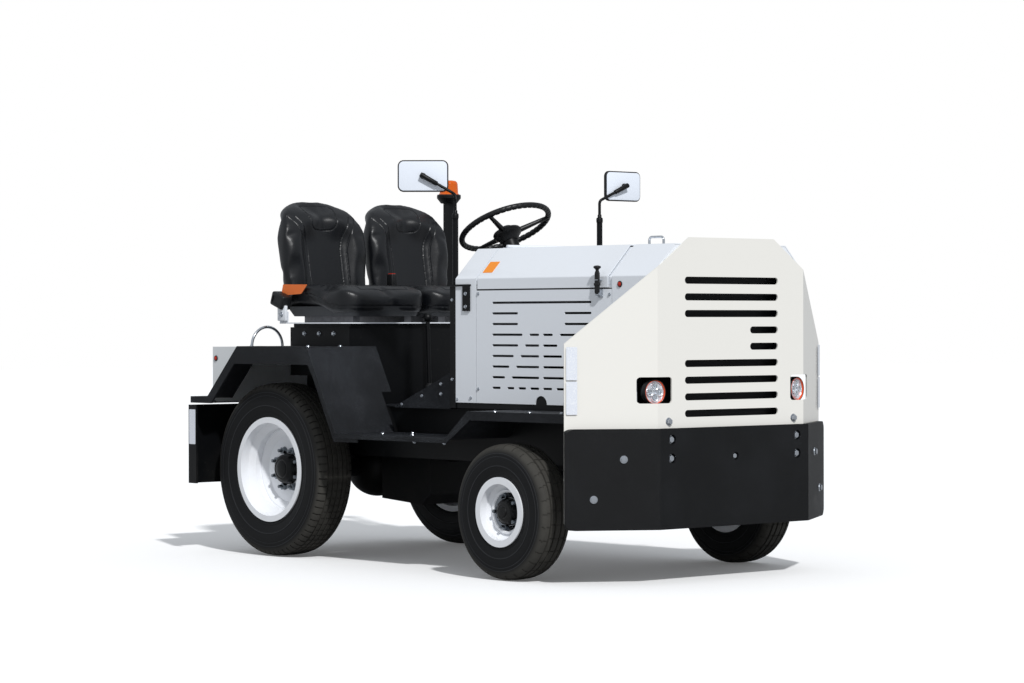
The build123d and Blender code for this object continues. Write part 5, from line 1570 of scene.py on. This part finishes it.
@dataclass
class SteeringWheel:
    """Steering wheel with finger grooves, three tapering spokes and a moulded hub."""

    centre: Point = (-0.225, 0.235, 1.396)
    radius: float = 0.194
    grip: float = 0.0125
    notches: int = 48

    # Hub from its foot up: radius, height over the wheel's plane
    HUB = (
        (0.0, -0.0715), (0.037, -0.0715), (0.039, -0.069), (0.0455, -0.054), (0.058, -0.042), (0.0615, -0.036),
        (0.062, -0.026), (0.059, -0.021), (0.041, -0.0135), (0.038, -0.0125), (0.0365, -0.0145),
        (0.0345, -0.0130), (0.0325, -0.008), (0.0255, -0.0028), (0.0150, 0.0005), (0.0, 0.0018),
    )

    def build(self) -> None:
        """Models the wheel flat round the origin, and then tilts it into place."""
        object_mode()
        bpy.ops.mesh.primitive_torus_add(major_radius=self.radius, minor_radius=self.grip,
                                         major_segments=self.notches * 4, minor_segments=16)
        rim = Work("steering_rim")

        def is_notch(place: Vector, normal: Vector) -> bool:
            """True for a vertex in a finger groove, inside the rim or under it."""
            step = round(math.atan2(place.y, place.x) % FULL_TURN / FULL_TURN * self.notches * 4)
            inward = math.hypot(place.x, place.y) < self.radius + 0.002
            return step % 4 == 0 and (inward or normal.z < -0.3)

        rim.pick(Kind.VERTEX, is_notch)
        bpy.ops.transform.shrink_fatten(value=-0.0022)
        rim.leave()
        spokes = []
        for i in range(3):
            a = math.radians(60 + 120 * i)
            ends = ((0.036, -0.031), (self.radius, -0.0005))
            near, far = ((r * math.cos(a), r * math.sin(a), z) for r, z in ends)
            spoke = Work.round("steering_spoke", near, far, 0.0125, 0.0078, 16)
            spoke.pick(Kind.FACE, lambda place, normal: abs(normal.z) < 0.85).inset(0.0008, 0.0003)
            spokes.append(spoke)
        hub = Work.turned("steering_hub", self.HUB, (0.0, 0.0, 0.0), (0.0, 0.0, 1.0), 64)
        wheel = joined([rim, *spokes, hub]).set_at(self.centre, (0.0, -STEERING_TILT, 0.0))
        wheel.put(Paint.GRIP, "steering_wheel", ["steering_wheel"])


@dataclass
class LidHardware:
    """Lid handle and the rubber side latches with their brackets."""

    handle_x: tuple[float, float] = (0.898, 0.978)
    latch_x: float = 1.068

    # Latch knob: radius and height
    KNOB = ((0.0, 1.170), (0.0065, 1.170), (0.0052, 1.184), (0.0075, 1.191), (0.0140, 1.1965), (0.0148, 1.2000),
            (0.0130, 1.2035), (0.0060, 1.2055), (0.0, 1.2060))

    def latch(self) -> tuple[Work, Work]:
        """Right latch.

        Returns:
            The rubber pull and the metal brackets.
        """
        x, y = self.latch_x, -BODY_SIDE - 0.019
        strap = Work.block("latch_pull", (x - 0.011, y - 0.005, 1.104), (x + 0.011, y + 0.005, 1.176))
        strap.facing((0.0, 0.0, 1.0)).grow((0.0, 0.0, 0.012))
        bpy.ops.transform.resize(value=(0.55, 0.8, 1.0))
        strap.facing((0.0, 0.0, -1.0)).grow((0.0, 0.0, -0.008))
        bpy.ops.transform.resize(value=(0.7, 0.8, 1.0))
        strap.rounded(0.0028, 2, 0.9)
        knob = Work.turned("latch_knob", self.KNOB, (x, y, 0.0), (0.0, 0.0, 1.0), 28)
        rib = Work.block("latch_rib", (x - 0.0135, y - 0.0068, 1.128), (x + 0.0135, y + 0.0068, 1.140))
        rib.rounded(0.003, 2)
        hook = Work.block("latch_hook", (x - 0.009, y - 0.001, 1.148), (x + 0.009, -BODY_SIDE, 1.152))
        hook.facing((0.0, -1.0, 0.0)).grow((0.0, -0.006, 0.0))
        hook.rounded(0.0012, 1)
        anchor = Work.block("latch_anchor", (x - 0.014, -BODY_SIDE - 0.0035, 1.084), (x + 0.014, -BODY_SIDE, 1.116))
        anchor.pick(Kind.FACE, lambda place, normal: normal.y < -0.9).inset(0.004)
        anchor.grow((0.0, -0.018, 0.004))
        anchor.rounded(0.0015, 1, 0.8)
        rivets = [bolted("latch_rivet", (x + dx, -BODY_SIDE - 0.0035, 1.088), "right", 0.0035)
                  for dx in (-0.009, 0.009)]
        return joined([strap, knob, rib]), joined([hook, anchor, *rivets])

    def build(self) -> None:
        """Models the handle and both latches."""
        (x0, x1), top = self.handle_x, HOOD_TOP + 0.038
        path = [(x0, 0.0, HOOD_TOP - 0.001), (x0, 0.0, top), (x1, 0.0, top), (x1, 0.0, HOOD_TOP - 0.001)]
        handle = Work.tube("lid_handle", path, 0.005, 0.014)
        feet = [Work.round("lid_handle_foot", (x, 0.0, HOOD_TOP), (x, 0.0, HOOD_TOP + 0.003), 0.011, sides=28)
                for x in (x0, x1)]
        for foot in feet:
            foot.rounded(0.001, 2)
        joined([handle, *feet]).put(Paint.CHROME, "hood", ["lid_hardware"])
        pull, metal = self.latch()
        put_pair(pull, Paint.RUBBER, "hood")
        put_pair(metal, Paint.PLATED, "hood")


def bolted(name: str, at: Point, way: str, size: float) -> Work:
    """Flanged bolt head with a chamfered top.

    Args:
        name: The new object's name.
        at: Middle of its foot.
        way: Name of the face that it stands on.
        size: Half its width across the corners.

    Returns:
        The bolt head.
    """
    out, foot = FACES[way], Vector(at)
    washer = Work.round(name, foot - out * 0.0005, foot + out * size * 0.22, size * 1.3, size * 1.18, 24)
    head = Work.round("bolt_head", foot, foot + out * size * 0.75, size, sides=6)
    head.facing(out).inset(size * 0.14, size * 0.12)
    return washer.with_others([head])


@dataclass
class Bumper:
    """Bumper plate with its front bolts sunk in counterbores, so that its push face stays flat."""

    depth: float = 0.0125
    radius: float = 0.019

    # Y and height of each bolt on the front face, and half the bolt's width
    BOLTS = ((-0.3425, 0.548, 0.0125), (0.3425, 0.548, 0.0125), (-0.343, 0.477, 0.0125), (0.343, 0.477, 0.0125),
             (-0.002, 0.477, 0.0105))

    def build(self) -> None:
        """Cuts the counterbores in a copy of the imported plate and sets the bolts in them."""
        cutters = []
        for y, z, size in self.BOLTS:
            mouth = self.radius * size / 0.0125
            cutters.append(Work.round("counterbore", (NOSE - self.depth, y, z), (NOSE + 0.004, y, z),
                                      mouth - 0.0015, mouth))
        cutter = joined(cutters)
        work = Work.packed("bumper_plate", "front_bumper")
        plate = work.piece
        work.enter(Kind.FACE)
        bpy.ops.mesh.select_all(action="SELECT")
        bpy.ops.mesh.remove_doubles(threshold=1e-5)
        bpy.ops.mesh.customdata_custom_splitnormals_clear()
        work.leave()
        bpy.ops.object.modifier_add(type="BOOLEAN")
        cut = plate.modifiers[-1]
        cut.object = cutter.piece
        bpy.ops.object.modifier_apply(modifier=cut.name)
        cutter.leave()
        bpy.ops.object.delete()
        work.enter(Kind.FACE)
        bpy.ops.mesh.select_all(action="SELECT")
        bpy.ops.mesh.dissolve_limited(angle_limit=0.01)
        work.leave()
        work.put(Paint.BUMPER, stands_for=["front_bumper"], angle=0.5)
        work.leave()
        bpy.ops.object.modifier_add(type="WEIGHTED_NORMAL")
        plate.modifiers[-1].keep_sharp = True
        bpy.ops.object.modifier_apply(modifier=plate.modifiers[-1].name)
        bolts = [bolted("bumper_bolt", (NOSE - self.depth, y, z), "front", size) for y, z, size in self.BOLTS]
        joined(bolts).put(Paint.PLATED)


@dataclass
class Fasteners:
    """Bolt heads, told from their table by place."""

    # Face that they stand on, size, then places on the right side as X, Y, Z
    TABLE = (
        ("front", 0.0125, ((1.351, -0.342, 0.615),)),
        ("wing_right", 0.0125, ((1.2960, -0.5235, 0.476), (1.2338, -0.6197, 0.327))),
        ("right", 0.0055, (
            (0.356, -BODY_SIDE, 1.103), (0.356, -BODY_SIDE, 0.724), (1.116, -BODY_SIDE, 1.095),
            (1.116, -BODY_SIDE, 0.795), (0.226, -BODY_SIDE, 0.680), (0.310, -BODY_SIDE, 0.687),
            (0.196, -BODY_SIDE, 1.080), (0.196, -BODY_SIDE, 0.760))),
        ("right", 0.0065, ((0.288, -0.433, 1.052), (0.288, -0.433, 1.104))),
        ("right", 0.0085, ((-0.759, -0.435, 0.943), (-0.658, -0.435, 0.943), (-0.559, -0.435, 0.943))),
        ("right", 0.0060, ((-0.130, -0.420, 0.652), (0.000, -0.420, 0.690), (0.120, -0.420, 0.700),
                           (0.120, -0.420, 0.740))),
        ("up", 0.0075, ((-0.130, -0.520, 0.535), (0.060, -0.520, 0.535), (0.300, -0.520, 0.535),
                        (-0.100, -0.385, 0.535), (0.320, -0.385, 0.535))),
        ("up", 0.0065, ((0.700, -0.640, 0.645), (0.900, -0.640, 0.645), (1.080, -0.640, 0.645))),
        ("up", 0.0070, ((-0.860, -0.640, 0.890), (-0.470, -0.640, 0.890), (-0.470, -0.470, 0.890))),
        ("right", 0.0085, ((-0.130, -0.350, 0.500), (0.060, -0.350, 0.500), (0.260, -0.350, 0.580),
                           (0.420, -0.350, 0.580), (1.000, -0.350, 0.580), (1.120, -0.350, 0.580))),
        ("back", 0.0110, ((-1.278, -0.068, 0.345), (-1.278, -0.068, 0.465), (-1.262, -0.340, 0.600),
                          (-1.262, -0.600, 0.380))),
    )

    def build(self) -> None:
        """Places every bolt and joins those of one row of the table."""
        for i, (way, size, places) in enumerate(self.TABLE):
            row = joined([bolted(f"bolts_{i}", place, way, size) for place in places])
            row.copy(f"bolts_{i}_left", mirrored=True).put(Paint.PLATED)
            row.put(Paint.PLATED)


@dataclass
class Plates:
    """Blank warning plate on the lid and reflective tape on the cowl and the rear plate."""

    shoulder: float = 1.165
    run: float = 0.120

    # X and height of the warning plate's corners
    WARNING = ((0.358, 1.231), (0.416, 1.231), (0.416, 1.187), (0.358, 1.187))

    def outwards(self) -> Vector:
        """Normal of the lid's right slope."""
        return Vector((0.0, self.shoulder - HOOD_TOP, self.run)).normalized()

    def on_slope(self, x: float, z: float, lift: float) -> Vector:
        """Point on the lid's right slope, or lifted off it."""
        share = (z - self.shoulder) / (HOOD_TOP - self.shoulder)
        return Vector((x, self.run * share - BODY_SIDE, z)) + self.outwards() * lift

    def build(self) -> None:
        """Models the plates, with rounded corners."""
        orange = Work.plate("warning_plate", [self.on_slope(x, z, -0.0002) for x, z in self.WARNING],
                            self.outwards() * 0.0012)
        orange.running(self.outwards()).bevel(0.003, 4)
        orange.put(Paint.ORANGE, "hood")
        wing = Vector((-0.543, -0.8397, 0.0))
        tape = []
        for z0, z1 in ((0.644, 0.768), (0.773, 0.897)):
            a, b = WING_TIP - wing * 0.046, WING_TIP - wing * 0.004
            outline = [(a.x, a.y, z0), (b.x, b.y, z0), (b.x, b.y, z1), (a.x, a.y, z1)]
            piece = Work.plate("cowl_tape", outline, FACES["wing_right"] * 0.0005)
            tape.append(piece.running(FACES["wing_right"]).bevel(0.003, 3))
        tail = Work.block("tail_tape", (-1.2570, -0.6806, 0.465), (-1.2120, -0.6799, 0.615))
        tail.running((0.0, 1.0, 0.0)).bevel(0.003, 3)
        put_pair(joined(tape), Paint.TAPE)
        put_pair(tail, Paint.TAPE)


@dataclass
class Dash:
    """Gauges, warning lamps and a key switch on the back of the dash cowl."""

    x: float = 0.218

    # Radius of the bezel, Y, height
    GAUGES = ((0.044, 0.300, 1.115), (0.030, 0.205, 1.120), (0.030, 0.205, 1.040))

    def build(self) -> None:
        """Models the panel and what stands on it."""
        back = (-1.0, 0.0, 0.0)
        panel = Work.block("dash_panel", (self.x - 0.004, 0.140, 0.985), (self.x, 0.365, 1.180))
        panel.running((1.0, 0.0, 0.0)).bevel(0.014, 4)
        panel.rounded(0.001, 1, 1.0)
        panel.put(Paint.PLASTIC)
        bezels, faces = [], []
        for r, y, z in self.GAUGES:
            bezels.append(Work.turned("gauge_bezel", [
                (r * 0.86, 0.0), (r, 0.0), (r, 0.007), (r * 0.95, 0.0095), (r * 0.87, 0.0085), (r * 0.85, 0.004)],
                (self.x - 0.004, y, z), back, 48))
            faces.append(Work.turned("gauge_face", [
                (0.0, 0.0), (r * 0.87, 0.0), (r * 0.87, 0.003), (r * 0.12, 0.0032), (r * 0.10, 0.0058),
                (0.0, 0.0062)], (self.x - 0.004, y, z), back, 48))
        switch = Work.turned("key_switch", [
            (0.0, 0.0), (0.014, 0.0), (0.014, 0.005), (0.0105, 0.009), (0.0105, 0.014), (0.0, 0.0145)],
            (self.x - 0.004, 0.300, 1.030), back, 32)
        key = Work.block("key", (self.x - 0.044, 0.2985, 1.016), (self.x - 0.018, 0.3015, 1.044))
        key.rounded(0.0012, 2)
        joined([*bezels, switch, key]).put(Paint.PLATED)
        joined(faces).put(Paint.MIRROR_BACK)
        dome = [(0.0, 0.0), (0.006, 0.0), (0.006, 0.003), (0.003, 0.005), (0.0, 0.0055)]
        knobs = [Work.turned("dash_lamp", dome, (self.x - 0.004, y, 1.000), back, 20)
                 for y in (0.170, 0.195, 0.220)]
        joined(knobs).put(Paint.RED)


@dataclass
class SeatFrame:
    """Folded black channel that closes the space between the pedestal and the seat plate."""

    x: tuple[float, float] = (-0.841, -0.4545)
    half: float = 0.430
    deep: float = 0.030
    z: tuple[float, float] = (0.9695, 0.985)

    def build(self) -> None:
        """Models four channels, open to the inside, one along each edge."""
        (low, high), (x0, x1), half, deep = self.z, self.x, self.half, self.deep
        inner = half - deep - 0.0001
        rows = (
            ((x0, -half), (x1, deep - half), (0.0, 1.0, 0.0)), ((x1 - deep, -inner), (x1, inner), (-1.0, 0.0, 0.0)),
            ((x0, half - deep), (x1, half), (0.0, -1.0, 0.0)), ((x0, -inner), (x0 + deep, inner), (1.0, 0.0, 0.0)),
        )
        sides = []
        for i, (a, b, inwards) in enumerate(rows):
            channel = Work.block(f"seat_channel_{i}", (*a, low), (*b, high))
            channel.facing(inwards).inset(0.003, -0.024)
            channel.rounded(0.0012, 1)
            sides.append(channel)
        joined(sides).put(Paint.FRAME)


@dataclass
class NoseLip:
    """Folded lip of the nose shell, which closes its upper corner behind the cowl's slanted edge."""

    x: tuple[float, float] = (1.3405, 1.3435)

    # Y and height of the corners on the left side
    OUTLINE = ((0.3930, 1.1966), (0.3050, 1.2855), (0.2500, 1.2855), (0.2500, 1.2580), (0.3840, 1.1760))

    def build(self) -> None:
        """Models the right lip and mirrors it."""
        back, front = self.x
        lip = Work.plate("nose_lip", [(back, -y, z) for y, z in self.OUTLINE], (front - back, 0.0, 0.0))
        lip.running((1.0, 0.0, 0.0)).bevel(0.004, 2)
        lip.copy("nose_lip_left", mirrored=True).put(Paint.BAY)
        lip.put(Paint.BAY)


@dataclass
class Controls:
    """Rubber pads on the pedals and the shift lever's gaiter."""

    def build(self) -> None:
        """Models the ribbed pads and the gaiter."""
        for i, y in enumerate((0.150, 0.300)):
            pad = Work.block(f"pedal_pad_{i}", (-0.031, -0.036, 0.005), (0.031, 0.036, 0.0105))
            pad.facing((0.0, 0.0, 1.0))
            bpy.ops.mesh.subdivide(number_cuts=4)
            pad.pick(Kind.FACE, lambda place, normal: (
                normal.z > 0.9 and round((place.x + 0.031) / 0.0124 - 0.5) % 2 == 0))
            pad.grow((0.0, 0.0, 0.003))
            pad.set_at((REAR_X + 0.800, y, 0.800), (0.0, -math.radians(45.0), 0.0)).put(Paint.RUBBER)
        rows = [(0.0, 0.0), (0.052, 0.0), (0.052, 0.006)]
        for i in range(5):
            rows += [(0.044 - 0.006 * i, 0.010 + 0.014 * i), (0.048 - 0.007 * i, 0.017 + 0.014 * i)]
        rows += [(0.0095, 0.086), (0.0, 0.086)]
        gaiter = Work.turned("lever_gaiter", rows, (-0.3875, -0.050, 0.645), (0.0, 0.0, 1.0), 32)
        gaiter.put(Paint.RUBBER)


@dataclass
class Studio:
    """Pale floor, soft light and the camera at the photograph's place."""

    lens: float = 106.45
    sensor: float = 36.0
    place: Point = (9.4619, -8.3574, 0.9916)
    yaw: float = 41.6997
    pitch: float = -0.2545
    roll: float = -0.0886
    shift_y: float = -0.00613
    sun_from: Point = (0.69, -0.31, 0.65)
    bounce: float = 0.42

    def build(self) -> None:
        """Makes the camera, the floor and the lights."""
        self.camera()
        self.floor()
        self.lights()

    def camera(self) -> None:
        """Camera looking back along the vehicle's right side."""
        bpy.ops.object.camera_add(location=self.place)
        camera = bpy.context.object
        camera.data.lens = self.lens
        camera.data.sensor_width = self.sensor
        camera.data.shift_y = self.shift_y
        yaw, pitch = math.radians(self.yaw), math.radians(self.pitch)
        ahead = Vector((-math.cos(yaw) * math.cos(pitch), math.sin(yaw) * math.cos(pitch), math.sin(pitch)))
        roll = Matrix.Rotation(math.radians(self.roll), 4, "Z")
        turn = ahead.to_track_quat("-Z", "Y").to_matrix().to_4x4() @ roll
        camera.matrix_world = Matrix.Translation(self.place) @ turn
        camera.data.clip_end = 200.0
        bpy.context.scene.camera = camera

    def floor(self) -> None:
        """One wide pale floor, which throws back less light than it shows."""
        bpy.ops.mesh.primitive_plane_add(size=90.0, location=(0.0, 0.0, -0.0005))
        floor = bpy.context.object
        floor.name = "floor"
        sheet = Sheet("studio_floor")
        pale = sheet.surface(Base_Color=(0.93, 0.93, 0.93, 1.0), Roughness=0.9, Specular_IOR_Level=0.1,
                             Emission_Color=(1.0, 1.0, 1.0, 1.0), Emission_Strength=0.09)
        ray = sheet.node("ShaderNodeLightPath", output="Is Camera Ray")
        dim = sheet.node("ShaderNodeBsdfDiffuse", inputs={"Color": (self.bounce, self.bounce, self.bounce, 1.0)})
        seen = sheet.node("ShaderNodeMixShader", inputs=[ray, dim, Sock(sheet, sheet.shader.outputs["BSDF"])])
        sheet.feed(sheet.tree.nodes["Material Output"].inputs["Surface"], seen)
        floor.data.materials.append(pale)

    def lights(self) -> None:
        """Soft key from the front right, and even light from all round."""
        bpy.ops.object.light_add(type="SUN", location=(4.0, -3.0, 6.0))
        key = bpy.context.object
        key.rotation_mode = "QUATERNION"
        key.rotation_quaternion = Vector(self.sun_from).to_track_quat("Z", "Y")
        key.data.energy = 2.75
        key.data.angle = math.radians(2.5)
        world = bpy.data.worlds.new("studio")
        world.use_nodes = True
        tree = world.node_tree
        sky = tree.nodes["Background"]
        sky.inputs["Color"].default_value = (0.90, 0.945, 1.0, 1.0)
        sky.inputs["Strength"].default_value = 0.52
        seen = tree.nodes.new("ShaderNodeBackground")
        seen.inputs["Color"].default_value = (1.0, 1.0, 1.0, 1.0)
        ray = tree.nodes.new("ShaderNodeLightPath")
        choice = tree.nodes.new("ShaderNodeMixShader")
        tree.links.new(ray.outputs["Is Camera Ray"], choice.inputs[0])
        tree.links.new(sky.outputs[0], choice.inputs[1])
        tree.links.new(seen.outputs[0], choice.inputs[2])
        tree.links.new(choice.outputs[0], tree.nodes["World Output"].inputs["Surface"])
        bpy.context.scene.world = world
        bpy.context.scene.view_settings.view_transform = "Standard"


def main() -> None:
    """Builds the looks in order."""
    logging.basicConfig(level=logging.INFO, format="%(name)s: %(message)s")
    bpy.ops.object.select_all(action="DESELECT")
    for name, finish in CAD_FINISHES.items():
        dress(NODES[name], finish)
    rear = Tyre("rear", REAR_AXLE, 0.3675, 0.0972, 0.2215, 0.2034, 0.0788, Tread.LUG)
    front = Tyre("front", FRONT_AXLE, 0.2624, 0.0786, 0.1345, 0.1145, 0.0688, Tread.RIB, 10, 300)
    for tyre in (rear, front):
        tyre.dress(tyre.build())
        log.info("%s tyres", tyre.place)
    trims = (
        WheelTrim("rear", REAR_AXLE, -0.032, 0.060, 0.050, 0.08255, 0.013, 8, 0.158, False),
        WheelTrim("front", FRONT_AXLE, 0.008, 0.046, 0.046, 0.061, 0.010, 5, 0.078, True),
    )
    for trim in trims:
        trim.build()
        log.info("%s wheel trim", trim.place)
    seats = (
        SeatBack("seat_back", 0.006, 12, 4.0, 0.8, 0.012),
        SeatCushion("seat_cushion", 0.006, 18, 4.0, 0.8, 0.015),
    )
    for part in seats:
        part.dress(part.build())
        log.info("%s", part.node)
    groups = (
        Belts(), Lamps(), Mirrors(), Beacon(), SteeringWheel(), LidHardware(), Bumper(), SeatFrame(), NoseLip(),
        Fasteners(), Plates(), Dash(), Controls(),
    )
    for group in groups:
        group.build()
        log.info("%s", type(group).__name__.lower())
    Studio().build()


if __name__ == "__main__":
    main()
